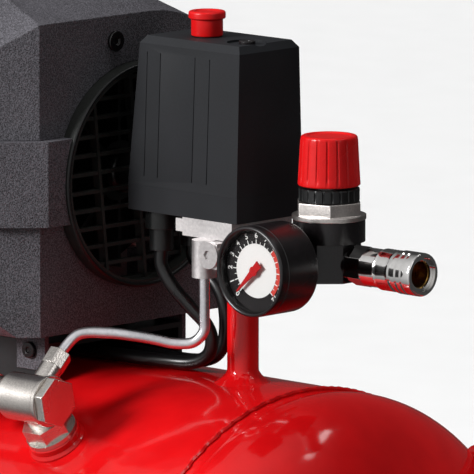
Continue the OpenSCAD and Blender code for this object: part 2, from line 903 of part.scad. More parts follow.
module sight_glass() {
    color("#d8b45a") place() translate([case_left, 0, glass_z]) to_minus_x() {
        cylinder(r = 9, h = cover_t);
        translate([0, 0, cover_t]) cylinder(r = 11, h = 2.5);
    }
}

module oil_filler() {
    color("#1e1e1e") place() translate([case_left, 0, filler_z]) to_minus_x() {
        cylinder(r = 7, h = cover_t);
        translate([0, 0, cover_t]) cylinder(r = 11, h = 4);
        translate([-9, -2.5, cover_t + 4]) cube([18, 5, 8]);
    }
}

module cylinder_profile() {
    root_r = bore_r + spigot_wall + 2;
    low = case_top - 6;
    fins = 5;
    step = (cylinder_top - case_top - 12) / fins;
    polygon(concat(
        [[bore_r, low], [bore_r + spigot_wall, low], [bore_r + spigot_wall, case_top]],
        [[fin_r, case_top], [fin_r, case_top + 5]],
        [for (i = [0 : fins - 1]) for (k = [0 : 3])
            [k == 0 || k == 3 ? root_r : fin_r, case_top + 5 + step * i + (k < 2 ? step * 0.5 : step * 0.85)]],
        [[root_r, cylinder_top - 6], [fin_r, cylinder_top - 6], [fin_r, cylinder_top], [bore_r, cylinder_top]]
    ));
}

module cylinder_body() {
    difference() {
        translate([crank_x, 0, 0]) rotate_extrude($fn = 96) cylinder_profile();
        bolt_places() translate([0, 0, case_top - 1]) cylinder(r = 3, h = cylinder_top);
    }
}

module head_block(z, h) {
    difference() {
        translate([crank_x - cyl_head_half, -cyl_head_half, z]) cube([2 * cyl_head_half, 2 * cyl_head_half, h]);
        bolt_places() translate([0, 0, z - 1]) cylinder(r = 3, h = h + 2);
        children();
    }
}

module valve_plate() {
    color("#8f9296") place() head_block(cylinder_top, valve_plate_t)
        for (y = [-port_y, port_y]) translate([crank_x, y / 2, cylinder_top - 1]) cylinder(r = 4, h = valve_plate_t + 2);
}

module cylinder_head() {
    z = cylinder_top + valve_plate_t;
    color("#a7a9ac") place() head_block(z, cyl_head_h) {
        // Two chambers, open to the valve plate, each with its own port
        for (s = [-1, 1]) translate([crank_x - 20, s * 13 - 9, z - 1]) cube([40, 18, 15]);
        for (y = [-port_y, port_y])
            translate([crank_x - cyl_head_half - 1, y, port_z]) to_x() cylinder(r = pipe_r, h = 20);
        // Cooling slots
        for (y = [-30 : 12 : 30]) translate([crank_x - 18, y - 2, z + 18]) cube([36, 4, 10]);
    }
}

module pump_bolts() {
    top = cylinder_top + valve_plate_t + cyl_head_h;
    shank_low = case_top - case_wall + 1;
    color("#b9bcc0") place() {
        bolt_places() {
            translate([0, 0, shank_low]) cylinder(r = 3, h = top - shank_low);
            translate([0, 0, top]) hexagon(10, 5);
        }
        tie_places() {
            translate([case_right - 6, 0, 0]) to_x() cylinder(r = tie_r, h = shield_x - case_right + 6);
            translate([shield_x, 0, 0]) to_x() hexagon(8, 4);
        }
    }
}

module air_filter() {
    from = crank_x - cyl_head_half;
    body_x = shroud_far - 3;
    color("#1e1e1e") place() translate([0, port_y, port_z]) difference() {
        union() {
            translate([from, 0, 0]) to_minus_x() cylinder(r = filter_neck_r, h = from - body_x + 1);
            translate([body_x, 0, 0]) to_minus_x() cylinder(r = filter_r, h = 12);
            translate([body_x - 12, 0, 0]) to_minus_x() cylinder(r = filter_r - 3, h = 22);
            translate([body_x - 34, 0, 0]) to_minus_x() cylinder(r = filter_r, h = 5);
        }
        translate([from + 1, 0, 0]) to_minus_x() cylinder(r = 6, h = from - body_x + 12);
        for (i = [0 : 17]) rotate([20 * i, 0, 0])
            translate([body_x - 32, -1.5, filter_r - 8]) cube([18, 3, 10]);
    }
}

module motor_stator() {
    core_near = shield_x - shield_t - 17;
    core_far = case_right + 20;
    color("#6b6e72") place() translate([0, 0, shaft_h]) {
        translate([core_far, 0, 0]) to_x() ring(stator_r, 34.5, core_near - core_far);
        for (x = [core_far - 12, core_near]) translate([x, 0, 0]) to_x() ring(stator_r - 5, 37, 12);
    }
}

module end_shield() {
    size = tie_at + 6;
    boss = bearing_r + 5;
    color("#a7a9ac") place() difference() {
        union() {
            translate([shield_x - shield_t, -size, shaft_h - size]) cube([shield_t, 2 * size, 2 * size]);
            translate([shield_x - bearing_w - 4, 0, shaft_h]) to_x() cylinder(r = boss, h = bearing_w + 4);
            translate([shield_x - shield_t - 17, 0, shaft_h]) to_x() ring(stator_r, stator_r - 4, 17 + eps);
            translate([shield_x - shield_t, -42, base_z]) cube([shield_t, 84, shaft_h - base_z - tie_at]);
            translate([shield_x - shield_t / 2 - 10, -45, base_z]) cube([20, 90, 6]);
        }
        translate([shield_x - bearing_w, 0, shaft_h]) to_x() cylinder(r = bearing_r, h = bearing_w + 1);
        translate([shield_x - 30, 0, shaft_h]) to_x() cylinder(r = shaft_r + 3, h = 40);
        tie_places() translate([shield_x - 30, 0, 0]) to_x() cylinder(r = tie_r, h = 40);
        for (i = [0 : 7]) rotate_about_shaft(45 * i + 22.5) translate([shield_x - 30, 41, 0]) to_x() cylinder(r = 8, h = 40);
    }
}

module rotate_about_shaft(a) {
    translate([0, 0, shaft_h]) rotate([a, 0, 0]) children();
}

module bearings() {
    color("#c9ccd0") place() for (x = [case_right - bearing_w, shield_x - bearing_w])
        translate([x, 0, shaft_h]) to_x() difference() {
            ring(bearing_r, shaft_r + run_fit, bearing_w);
            for (z = [-1, bearing_w - 1]) translate([0, 0, z]) ring(bearing_r - 4, shaft_r + 3.5, 2);
        }
}

module rotor() {
    core_near = shield_x - shield_t - 17;
    core_far = case_right + 20;
    color("#9a9da1") place() translate([0, 0, shaft_h]) {
        translate([disc_x, 0, 0]) to_x() cylinder(r = shaft_r, h = fan_x + fan_w + 2 - disc_x);
        translate([core_far, 0, 0]) to_x() ring(34, shaft_r - 0.2, core_near - core_far);
    }
}

module crank_disc() {
    color("#5d6063") place() translate([disc_x, 0, shaft_h]) to_x() ring(disc_r, shaft_r, disc_t);
}

module fan() {
    hub_r = shaft_r + 8;
    color("#26282a") place() translate([fan_x, 0, shaft_h]) to_x() {
        ring(hub_r, shaft_r, fan_w);
        ring(fan_r, hub_r - eps, 2);
        for (i = [0 : fan_blades - 1]) rotate([0, 0, 360 * i / fan_blades])
            translate([hub_r - eps, -1, 1]) cube([fan_r - hub_r - 1, 2, fan_w - 1]);
    }
}

module piston() {
    outer = bore_r - run_fit;
    groove = 1.5;
    top = wrist_z + crown;
    inner = outer - 4.5;
    color("#c2c5c8") place() difference() {
        translate([crank_x, 0, 0]) rotate_extrude($fn = 96) polygon([
            [0, wrist_z + small_eye_r + 0.5], [inner, wrist_z + small_eye_r + 0.5], [inner, wrist_z - skirt],
            [outer, wrist_z - skirt], [outer, top - 9], [outer - groove, top - 9], [outer - groove, top - 7.5],
            [outer, top - 7.5], [outer, top - 5.5], [outer - groove, top - 5.5], [outer - groove, top - 4],
            [outer, top - 4], [outer, top], [0, top]
        ]);
        translate([crank_x - 30, 0, wrist_z]) to_x() cylinder(r = wrist_r, h = 60);
    }
}

module connecting_rod() {
    z = shaft_h - throw;
    color("#aeb1b5") place() translate([crank_x, 0, z]) {
        difference() {
            union() {
                translate([-rod_t / 2, 0, 0]) to_x() cylinder(r = rod_eye_r, h = rod_t);
                translate([-rod_t / 2, 0, rod_len]) to_x() cylinder(r = small_eye_r, h = rod_t);
                translate([-3, -5, 2]) cube([6, 10, rod_len - 4]);
            }
            translate([-rod_t, 0, 0]) to_x() cylinder(r = pin_r, h = 2 * rod_t);
            translate([-rod_t, 0, rod_len]) to_x() cylinder(r = wrist_r, h = 2 * rod_t);
        }
        translate([-rod_t / 2 - 1, 0, 0]) to_x() cylinder(r = pin_r, h = rod_t + 4 - disc_gap);
        translate([-bore_r + 2, 0, rod_len]) to_x() cylinder(r = wrist_r, h = 2 * (bore_r - 2));
    }
}

// ---- pipes and valves ----

module delivery_pipe() {
    color("#c7c9cc") place() swept(PIPE, pipe_r - 0.05, 12, 4);
}

module check_valve_body() {
    c = valve_c;
    color("#a8a4a3") place() {
        difference() {
            union() {
                translate(c - [14, 0, 0]) to_x() cylinder(r = valve_r, h = 14 + valve_right);
                translate(c - [20, 0, 0]) to_x() cylinder(r1 = 9.3, r2 = valve_r, h = 6);
                translate(c - [neck_len, 0, 0]) to_x() cylinder(r = 9.3, h = neck_len - 20 + eps);
                valve_axis(boss_h) cylinder(r = 9, h = valve_h - boss_h);
                valve_axis(boss_h + 2) hexagon(24, 9);
                valve_axis(boss_h) cylinder(r = 14.5, h = 2.5);
                translate(c) rotate([-45, 0, 0]) cylinder(r = 6.4, h = side_len);
            }
            translate(c - [neck_len + 1, 0, 0]) to_x() cylinder(r = pipe_r, h = neck_len);
            translate(c - [2, 0, 0]) to_x() cylinder(r = 9, h = valve_right + 3);
            valve_axis(boss_h - 1) cylinder(r = 6, h = valve_h - boss_h + 1);
            translate(c) rotate([-45, 0, 0]) cylinder(r = 2, h = side_len + 1);
        }
    }
}

module check_valve_cap() {
    color("#b4b0ae") place() translate(valve_c + [valve_right, 0, 0]) to_x() {
        cylinder(r = valve_r + 1, h = cap_flange);
        rotate([0, 0, 12]) translate([0, 0, cap_flange]) hexagon(cap_af, cap_hex);
        translate([0, 0, -8]) cylinder(r = 9, h = 8 + eps);
    }
}

module pipe_nuts() {
    head_face = crank_x - cyl_head_half;
    color("#c3c0be") place() {
        translate(valve_c - [neck_len + nut_len, 0, 0]) to_x() difference() {
            hexagon(nut_af, nut_len);
            translate([0, 0, -1]) cylinder(r = pipe_r, h = nut_len + 2);
        }
        translate(valve_c) rotate([-45, 0, 0]) translate([0, 0, side_len]) difference() {
            hexagon(12, side_nut);
            translate([0, 0, -1]) cylinder(r = tube_r + 0.2, h = side_nut + 2);
        }
        translate([head_face - 12, -port_y, port_z]) to_x() difference() {
            hexagon(18, 12);
            translate([0, 0, -1]) cylinder(r = pipe_r, h = 14);
        }
    }
}

module unloader_tube() {
    color("#bdbcbe") place() swept(TUBE, tube_r - 0.03, 12, 5);
}

module unloader_valve() {
    screw_r = 7.4;
    screw_x = 6.5;
    screw_h = 73.4;
    color("#c9c7c8") place() difference() {
        union() {
            translate([unload_x, unload_y, unload_low - 4]) cylinder(r = unload_r, h = switch_h - block_flange_h - unload_low + 4);
            translate([unload_x, unload_y - 5, unload_low + 2]) cube([screw_x + 6 - unload_x, 12, 14]);
            translate([screw_x, unload_y - 3, screw_h]) to_front() cylinder(r = screw_r, h = 3.4);
        }
        translate([unload_x, unload_y, unload_low - 5]) cylinder(r = tube_r, h = 5);
        translate([screw_x, unload_y - 5, screw_h]) to_front() hexagon(5, 3);
        translate([-block_half, -block_half, block_low]) cube([2 * block_half, 2 * block_half, 40]);
    }
}

module manifold() {
    color("#a8a4a3") place() difference() {
        union() {
            translate([-block_half, -block_half, block_low])
                cube([2 * block_half, 2 * block_half, switch_h - block_flange_h - block_low]);
            translate([-21, -25.4, switch_h - block_flange_h]) cube([37, 47, block_flange_h]);
            translate([-26, -25.4, switch_h - 8]) cube([6, 8, 7]);
            translate([block_half, 0, port_h]) to_x() cylinder(r = 6.5, h = regulator_x - reg_r - block_half + 1);
            translate([block_half, 0, port_h]) to_x() hexagon(15, 6);
        }
        translate([0, 0, block_low - 1]) cylinder(r = 6, h = 20);
        translate([0, 0, port_h]) to_x() cylinder(r = 4, h = regulator_x);
        octagon(reg_low - 1, reg_mid);
    }
}

module octagon(z0, z1) {
    translate([regulator_x, 0, z0]) rotate([0, 0, 22.5]) cylinder(r = reg_r / cos(22.5), h = z1 - z0, $fn = 8);
}

// ---- pressure switch ----

module switch_base() {
    color("#2b2c2e") place() difference() {
        translate([switch_x - switch_len / 2, -switch_w / 2, switch_h]) cube([switch_len, switch_w, switch_base_h]);
        translate([switch_x - switch_len / 2 + 3, -switch_w / 2 + 3, switch_h + 3])
            cube([switch_len - 6, switch_w - 6, switch_base_h]);
        both_sides() translate([gland_x, gland_y, switch_h - 1]) cylinder(r = lead_r + 0.6, h = 5);
    }
}

// Cover block between two heights, inset by t, tapering towards the top
module cover_block(t, z0, z1) {
    inset = 6;
    hull() {
        translate([switch_x - switch_len / 2 + t, -switch_w / 2 + t, z0]) cube([switch_len - 2 * t, switch_w - 2 * t, 1]);
        translate([switch_x - switch_len / 2 + t + inset, -switch_w / 2 + t + 3.2, z1 - 5])
            cube([switch_len - 2 * t - inset - 1, switch_w - 2 * t - 4.8, 1]);
        translate([switch_x - switch_len / 2 + t + inset + 3, -switch_w / 2 + t + 6, z1 - 1])
            cube([switch_len - 2 * t - inset - 7, switch_w - 2 * t - 10.5, 1]);
    }
}

module switch_cover() {
    color("#2b2c2e") place() difference() {
        cover_block(0, cover_z, switch_top);
        cover_block(cover_wall, cover_z - eps, switch_top - cover_wall);
        translate([button_x, button_y, switch_top - 10]) cylinder(r = neck_r + slack, h = 20);
        translate([recess_x, recess_y, switch_top - recess_depth]) cylinder(r = 11, h = 5);
        translate([recess_x, recess_y, switch_top - 10]) cylinder(r = 2.5, h = 20);
    }
}

module switch_button() {
    z = switch_top + button_gap;
    color("#c51716") place() translate([button_x, button_y, 0]) {
        translate([0, 0, z]) cylinder(r = button_r, h = button_body_h);
        translate([0, 0, z + button_body_h]) cylinder(r = flange_r, h = button_flange_h);
        translate([0, 0, z - 14]) cylinder(r = neck_r, h = 14);
    }
}

module switch_frame() {
    low = switch_h + 3;
    color("#8d8f92") place() {
        translate([switch_x - switch_len / 2 + 5, -18, low]) cube([switch_len - 14, 36, 2]);
        translate([switch_x + 4, -15, low + 2]) cube([24, 30, 34]);
        translate([button_x - 3, -10, low + 2]) cube([6, 20, switch_top - 24 - low]);
        translate([recess_x, recess_y, low + 36]) cylinder(r = 4, h = switch_top - cover_wall - low - 36);
    }
}

module cable_glands() {
    color("#202123") place() both_sides() translate([gland_x, gland_y, 0]) difference() {
        union() {
            translate([0, 0, switch_h - gland_h]) cylinder(r = gland_r, h = gland_h);
            translate([0, 0, switch_h - gland_h - gland_nut_h]) cylinder(r = gland_nut_r, h = gland_nut_h);
        }
        translate([0, 0, switch_h - gland_h - gland_nut_h + 3]) cylinder(r = lead_r, h = 40);
        translate([0, 0, switch_h - gland_h - gland_nut_h - 1]) cylinder(r = lead_r + 0.3, h = 4);
        translate([-20, -gland_y - 40, 0]) cube([40, 40, 200]);
    }
}

module leads() {
    color("#151515") place() {
        swept(LEAD_A, lead_r, 10, 3);
        swept(LEAD_B, lead_r, 10, 3);
    }
}

// ---- safety valve ----

module safety_valve() {
    color("#c9a24b") place() translate([safety_x, block_half, port_h]) to_rear() difference() {
        union() {
            cylinder(r = 5.5, h = 8);
            translate([0, 0, 3]) hexagon(14, 7);
            translate([0, 0, 10]) cylinder(r = 6.2, h = 14);
        }
        translate([0, 0, 12]) cylinder(r = 1.5 + run_fit, h = 20);
    }
}

module safety_ring() {
    color("#c3c0be") place() translate([safety_x, block_half, port_h]) to_rear() {
        translate([0, 0, 16]) cylinder(r = 1.5, h = 14);
        translate([0, 0, safety_len + 3]) to_x() rotate_extrude() translate([8, 0]) circle(r = 1.2);
    }
}

// ---- regulator ----

module regulator_body() {
    color("#1c1c1e") place() difference() {
        union() {
            octagon(reg_low, reg_mid + eps);
            translate([regulator_x, 0, reg_mid]) cylinder(r = reg_upper_r, h = reg_top - reg_mid);
            translate([regulator_x, 0, port_h]) to_front() cylinder(r = stem_r, h = -gauge_back - 6);
            translate([regulator_x, 0, port_h]) to_rear() cylinder(r = 6, h = reg_r + 6);
            translate([regulator_x, 0, port_h]) to_x() cylinder(r = 8, h = reg_r + outlet_len);
        }
        translate([regulator_x, 0, reg_mid - 2]) cylinder(r = 14, h = 30);
        translate([regulator_x, 0, port_h - 4]) cylinder(r = 5, h = 20);
    }
}

module bonnet_nut() {
    neck = 8;
    color("#b6b4b1") place() translate([regulator_x, 0, reg_top]) {
        cylinder(r = ring_r, h = ring_h);
        translate([0, 0, ring_h]) rotate([0, 0, 15]) hexagon(bonnet_af, bonnet_h);
        cylinder(r = neck, h = ring_h + bonnet_h + lock_h + 5);
        translate([0, 0, -10]) cylinder(r = 14, h = 10);
    }
}

module fluted(r1, r2, h, n, depth) {
    difference() {
        cylinder(r1 = r1, r2 = r2, h = h);
        for (i = [0 : n - 1]) rotate([0, 0, 360 * i / n]) translate([r1 + 1.6 - depth, 0, -1])
            rotate([0, -atan((r1 - r2) / h), 0]) cylinder(r = 1.6, h = h + 3, $fn = 24);
    }
}

module lock_ring() {
    color("#1c1c1e") place() translate([regulator_x, 0, lock_z + slack]) difference() {
        fluted(lock_r, lock_r, lock_h, 24, 0.8);
        translate([0, 0, -1]) cylinder(r = 8 + slack, h = lock_h + 2);
    }
}

module regulator_knob() {
    color("#c51919") place() translate([regulator_x, 0, knob_z]) difference() {
        fluted(knob_r, knob_r - 1.5, knob_h, 18, 0.7);
        translate([0, 0, -1]) cylinder(r = 8 + slack, h = 6.5);
    }
}

// ---- gauge ----

module gauge_at(y) {
    translate([regulator_x, y, port_h + 1]) to_front() children();
}

module gauge_case() {
    color("#1e1c1d") place() difference() {
        union() {
            gauge_at(gauge_back) cylinder(r = gauge_r, h = gauge_depth, $fn = 96);
            gauge_at(gauge_back + 6) cylinder(r = 9, h = 7);
        }
        gauge_at(gauge_face + dial_in) cylinder(r = gauge_r - 2.4, h = dial_in + 1, $fn = 96);
    }
}

module gauge_dial() {
    color("#f0f0ee") place() difference() {
        gauge_at(gauge_face + dial_in) cylinder(r = gauge_r - 2.6, h = dial_t, $fn = 96);
        gauge_at(gauge_face + dial_in + 1) cylinder(r = 1 + run_fit, h = 4);
    }
}

module gauge_needle() {
    lift = 1.2;
    w = 2.2;
    y = gauge_face + dial_in - dial_t;
    rest_turn = 135;
    color("#c81e1e") place() {
        gauge_at(y + dial_t) cylinder(r = 1, h = dial_t + lift);
        gauge_at(y - lift) rotate([0, 0, rest_turn]) {
            cylinder(r = 2.6, h = 0.8);
            linear_extrude(0.8) polygon([
                [-w, -needle_tail], [w, -needle_tail], [w * 0.8, 0], [0.35, needle_len],
                [-0.35, needle_len], [-w * 0.8, 0]
            ]);
        }
    }
}

// ---- coupler ----

module coupler_body() {
    color("#c0bdb8") place() translate([0, 0, port_h]) difference() {
        union() {
            translate([coupler_x, 0, 0]) to_x() hexagon(coupler_af, hex_len);
            translate([barrel_x, 0, 0]) to_x() cylinder(r = barrel_r, h = barrel_end - barrel_x);
            translate([barrel_end, 0, 0]) to_x() cylinder(r = nose_r, h = nose_end - barrel_end);
        }
        translate([nose_end - mouth_len, 0, 0]) to_x() cylinder(r = mouth_r, h = mouth_len + 1);
        translate([coupler_x - 1, 0, 0]) to_x() cylinder(r = 4, h = 80 - mouth_len);
    }
}

module coupler_sleeve() {
    skirt_in = barrel_r + run_fit;
    shoulder = barrel_end + sleeve_travel + 1;
    color("#c9c7c4") place() translate([sleeve_x + slack, 0, port_h]) to_x() rotate_extrude($fn = 96) polygon([
        [skirt_in, 0], [knurl_r - 0.5, 0], [knurl_r, 0.5], [knurl_r, 11], [knurl_r - 0.9, 11.8], [knurl_r - 0.9, 13],
        [sleeve_r, 14], [sleeve_r, 16.5], [sleeve_r - 0.7, 17.2], [sleeve_r, 17.9], [sleeve_r, 20.4],
        [sleeve_r - 0.7, 21.1], [sleeve_r, 21.8], [sleeve_r, 26.5], [sleeve_r - 1.2, 27.7],
        [nose_r + run_fit, 27.7], [nose_r + run_fit, shoulder - sleeve_x], [skirt_in, shoulder - sleeve_x]
    ]);
}

tank_shell();
tank_heads();
tank_fittings();
pump_plate();
rubber_mounts();
tank_brackets();
wheel_bolts();
wheel_hub_front();
wheel_hub_rear();
tyre_front();
tyre_rear();
handle_tube();
handle_grip();
drain_body();
drain_knob();
shroud_upper();
shroud_lower();
fan_grille();
case_screws();
crankcase();
crankcase_cover();
sight_glass();
oil_filler();
color("#74777b") place() cylinder_body();  // cylinder
valve_plate();
cylinder_head();
pump_bolts();
air_filter();
motor_stator();
end_shield();
bearings();
rotor();
crank_disc();
fan();
piston();
connecting_rod();
delivery_pipe();
check_valve_body();
check_valve_cap();
pipe_nuts();
unloader_tube();
unloader_valve();
manifold();
switch_base();
switch_cover();
switch_button();
switch_frame();
cable_glands();
leads();
safety_valve();
safety_ring();
regulator_body();
bonnet_nut();
lock_ring();
regulator_knob();
gauge_case();
gauge_dial();
gauge_needle();
coupler_body();
coupler_sleeve();
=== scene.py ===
import logging
import random
from dataclasses import dataclass
from enum import Enum
from math import atan, atan2, cos, pi, radians, sin, sqrt

import bmesh
import bpy
from bmesh.types import BMesh, BMFace, BMVert
from bpy.types import Camera, Curve, Light, Material, Mesh, Node, NodeSocket, NodeTree, Object
from mathutils import Matrix, Vector


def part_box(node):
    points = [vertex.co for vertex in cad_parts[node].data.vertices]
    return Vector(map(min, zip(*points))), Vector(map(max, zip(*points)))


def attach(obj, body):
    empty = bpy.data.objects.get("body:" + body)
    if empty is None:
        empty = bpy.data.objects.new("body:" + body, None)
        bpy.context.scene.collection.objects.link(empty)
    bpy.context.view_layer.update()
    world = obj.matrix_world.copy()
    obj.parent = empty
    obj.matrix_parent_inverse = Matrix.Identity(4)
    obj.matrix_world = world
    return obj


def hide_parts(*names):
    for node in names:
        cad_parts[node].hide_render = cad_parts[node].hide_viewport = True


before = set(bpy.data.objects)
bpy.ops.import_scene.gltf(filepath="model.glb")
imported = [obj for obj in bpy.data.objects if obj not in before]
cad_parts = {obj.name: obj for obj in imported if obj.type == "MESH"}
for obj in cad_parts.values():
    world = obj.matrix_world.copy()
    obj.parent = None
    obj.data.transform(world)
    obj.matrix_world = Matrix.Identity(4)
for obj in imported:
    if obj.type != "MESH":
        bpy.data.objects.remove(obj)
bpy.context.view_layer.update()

MM = 0.001
X, Y, Z = Vector((1, 0, 0)), Vector((0, 1, 0)), Vector((0, 0, 1))
LOG = logging.getLogger("compressor")
Outline = list[tuple[float, float]]
# Materials made so far, by name
MATERIALS: dict[str, Material] = {}
# Edges sharper than this stay sharp in the shading
SHARP = radians(34)
# Edges of the solids sharper than this are rounded
ROUNDED = radians(30)
# Size of the slow drift of shade over a surface
DRIFT = 40 * MM
# How far a brushed pattern is drawn out along its marks
DRAWN_OUT = 0.04
# The riser's axis stands this far in front of the middle of the switch
SWITCH_BACK = 21 * MM
# The check valve: distance behind the riser, degrees off the tank's crown, height of its ports over the shell
VALVE_BACK = 54.2 * MM
VALVE_TURN = 36.0
VALVE_UP = 32 * MM


class Relief(Enum):
    """How a finish's surface relief is laid out."""

    PLAIN = "plain"
    GRAIN = "grain"
    CAST = "cast"
    BRUSHED = "brushed along X"


# ---- colour and material helpers ----


def linear(code: str) -> tuple[float, float, float, float]:
    """Turns an sRGB hex colour to linear.

    Args:
        code: six hex digits.

    Returns:
        Linear red, green and blue, and full alpha.
    """
    parts = [int(code[i : i + 2], 16) / 255 for i in (0, 2, 4)]
    red, green, blue = [c / 12.92 if c <= 0.04045 else ((c + 0.055) / 1.055) ** 2.4 for c in parts]
    return (red, green, blue, 1.0)


def add(tree: NodeTree, kind: str, inputs: dict | None = None, **settings: object) -> Node:
    """Adds a shader node with its settings, values and links.

    Args:
        tree: the node tree that gets the node.
        kind: the node's type.
        inputs: socket name or index to a value, or to the socket that feeds it.
        settings: the node's own properties.

    Returns:
        The new node.
    """
    node = tree.nodes.new(kind)
    for name, value in settings.items():
        setattr(node, name, value)
    for name, value in (inputs or {}).items():
        if isinstance(value, NodeSocket):
            tree.links.new(value, node.inputs[name])
        else:
            node.inputs[name].default_value = value
    return node


@dataclass(frozen=True)
class Finish:
    """One real material and how its surface was made."""

    name: str
    colour: str
    deep: str
    roughness: float
    metallic: float = 0.0
    relief: Relief = Relief.PLAIN
    grain_mm: float = 1.0
    depth_mm: float = 0.02
    tint: float = 0.5
    rough_span: float = 0.08
    alpha: float = 1.0
    mottle: float = 1.0
    contrast: float = 0.28
    specular: float = 0.5

    def material(self) -> Material:
        """Makes this finish's Blender material the first time it is asked for.

        Returns:
            The material.
        """
        if self.name in MATERIALS:
            return MATERIALS[self.name]
        made = bpy.data.materials.new(self.name)
        MATERIALS[self.name] = made
        made.use_nodes = True
        made.diffuse_color = linear(self.colour)
        tree = made.node_tree
        tree.nodes.clear()
        place = add(tree, "ShaderNodeTexCoord").outputs["Object"]
        height = self.height(tree, place)
        noise = {"Vector": place, "Scale": 1.0 / (DRIFT), "Detail": 2.0}
        drift = add(tree, "ShaderNodeTexNoise", noise).outputs["Fac"]
        blend = add(tree, "ShaderNodeMath", {0: drift, 1: self.mottle, 2: height}, operation="MULTIPLY_ADD")
        middle = 0.5 + 0.5 * self.mottle
        tinted = {
            "Value": blend.outputs[0],
            "From Min": middle - self.contrast,
            "From Max": middle + self.contrast,
            "To Min": 0.5 - self.tint,
            "To Max": 0.5 + self.tint,
        }
        share = add(tree, "ShaderNodeMapRange", tinted).outputs[0]
        # For the grained shroud plastic this mix paints the grain's tips light as painted glints and its
        # hollows dark as painted shade
        colours = {"Factor": share, "A": linear(self.deep), "B": linear(self.colour)}
        colour = add(tree, "ShaderNodeMix", colours, data_type="RGBA")
        worn = {
            "Value": drift,
            "From Min": 0.3,
            "From Max": 0.7,
            "To Min": max(0.02, self.roughness - self.rough_span),
            "To Max": self.roughness + self.rough_span,
        }
        rough = add(tree, "ShaderNodeMapRange", worn)
        relief = {"Height": height, "Distance": self.depth_mm * MM, "Strength": 1.0}
        bump = add(tree, "ShaderNodeBump", relief)
        surface = {
            "Base Color": colour.outputs[2],
            "Roughness": rough.outputs[0],
            "Normal": bump.outputs[0],
            "Metallic": self.metallic,
            "Specular IOR Level": self.specular,
            "Alpha": self.alpha,
        }
        shader = add(tree, "ShaderNodeBsdfPrincipled", surface)
        add(tree, "ShaderNodeOutputMaterial", {"Surface": shader.outputs[0]})
        return made

    def height(self, tree: NodeTree, place: NodeSocket) -> NodeSocket:
        """Draws the surface's relief.

        Args:
            tree: the material's tree.
            place: the coordinates.

        Returns:
            The socket that carries the height.
        """
        scale = 1.0 / (self.grain_mm * MM)
        if self.relief is Relief.BRUSHED:
            drawn = {"Vector": place, "Scale": (DRAWN_OUT, 1.0, 1.0)}
            place = add(tree, "ShaderNodeMapping", drawn).outputs[0]
        if self.relief is not Relief.GRAIN:
            noise = {"Vector": place, "Scale": scale, "Detail": 5.0 if self.relief is Relief.CAST else 3.0}
            return add(tree, "ShaderNodeTexNoise", noise).outputs["Fac"]
        cells = add(tree, "ShaderNodeTexVoronoi", {"Vector": place, "Scale": scale}, feature="SMOOTH_F1")
        fine = add(tree, "ShaderNodeTexNoise", {"Vector": place, "Scale": scale * 1.6, "Detail": 2.0})
        both = {0: cells.outputs["Distance"], 1: fine.outputs["Fac"]}
        total = add(tree, "ShaderNodeMath", both, operation="ADD").outputs[0]
        return add(tree, "ShaderNodeMath", {0: total, 1: 0.6}, operation="MULTIPLY").outputs[0]


# Glossy stoving enamel over rolled sheet: deep red, sharp highlights with a faint orange peel
RED_ENAMEL = Finish(
    "red_stoving_enamel", "D81115", "C60D11", 0.09, grain_mm=16, depth_mm=0.1,
    rough_span=0.02, tint=0.4, specular=0.4,
)
# Spark-eroded ABS moulding: leathery grain drawn at 0.75 mm so that it shows; its colour paints the grain's
# tips light as painted glints and its hollows dark as painted shade
GRAINED_ABS_PAINTED_GLINTS_AND_SHADE = Finish(
    "grained_abs_painted_glints_and_shade", "66646A", "08080A", 0.46, relief=Relief.GRAIN, grain_mm=0.75, depth_mm=0.4,
    mottle=0.15, contrast=0.19, specular=0.22,
)
# The same moulding's grille, drawn at 0.9 mm: shallower and darker
GRILLE_ABS = Finish("grille_abs", "2B2D2B", "151614", 0.4, relief=Relief.GRAIN, grain_mm=0.9, depth_mm=0.05)
# Fine-textured polyamide of the switch: even dark grey with a soft sheen
SWITCH_PA = Finish("switch_polyamide", "242528", "1D1E20", 0.55, grain_mm=0.8, tint=0.4, specular=0.15)
# Smooth injection-moulded black polypropylene of glands, ring, fan and filter: a broad soft highlight
BLACK_PP = Finish("black_polypropylene", "161718", "0D0E0E", 0.34, grain_mm=1.5, specular=0.35)
# Polished red ABS of the button and the knob: strong red with a soft shine
RED_ABS = Finish("red_abs", "DA1416", "CC1012", 0.3, grain_mm=4, depth_mm=0.015, tint=0.4, specular=0.3)
# Black electrocoated zinc casting: near-black with a warm cast and soft gloss
BLACK_ZINC = Finish("black_zinc_casting", "171315", "0A0809", 0.26, grain_mm=2.5, depth_mm=0.03, specular=0.45)
# Black semi-gloss paint on folded plate: a dull, even sheen
BLACK_PAINT = Finish("black_plate_paint", "1B1B1D", "111112", 0.35, grain_mm=3)
# Bright zinc plate on steel: pale grey with a fine mottled texture
ZINC_PLATE = Finish("bright_zinc_plate", "D2CCC8", "B3AEAB", 0.36, 1.0, Relief.CAST, 1.2, 0.03, rough_span=0.1)
# Zinc die casting, tumbled: light satin grey
DIE_CAST = Finish("tumbled_die_casting", "D6D2D1", "B8B4B4", 0.42, 0.85, Relief.CAST, 1.6, 0.06)
# Nickel-plated brass casting: bright with a sandy skin
NICKEL = Finish("nickel_plated_casting", "DCD6D0", "B9B3AE", 0.27, 1.0, Relief.CAST, 1.0, 0.07, rough_span=0.1)
# Polished chrome: mirror-bright
CHROME = Finish("polished_chrome", "E6E4E2", "D8D6D4", 0.07, 1.0, grain_mm=3, depth_mm=0.004, rough_span=0.03)
# Turned brass: warm yellow with a satin shine
BRASS = Finish("turned_brass", "C79A52", "A07B3E", 0.28, 1.0, Relief.CAST, 1.5)
# Drawn soft aluminium tube, bent by hand: satin with a faint mottle
SOFT_ALUMINIUM = Finish("drawn_aluminium", "E2E0E3", "C9C7CB", 0.33, 1.0, Relief.CAST, 2.0, rough_span=0.1)
# Sand-blasted aluminium casting of the pump: matt light grey
CAST_ALUMINIUM = Finish("sand_blasted_aluminium", "B9BABC", "8E9093", 0.5, 0.9, Relief.CAST, 1.4, 0.12)
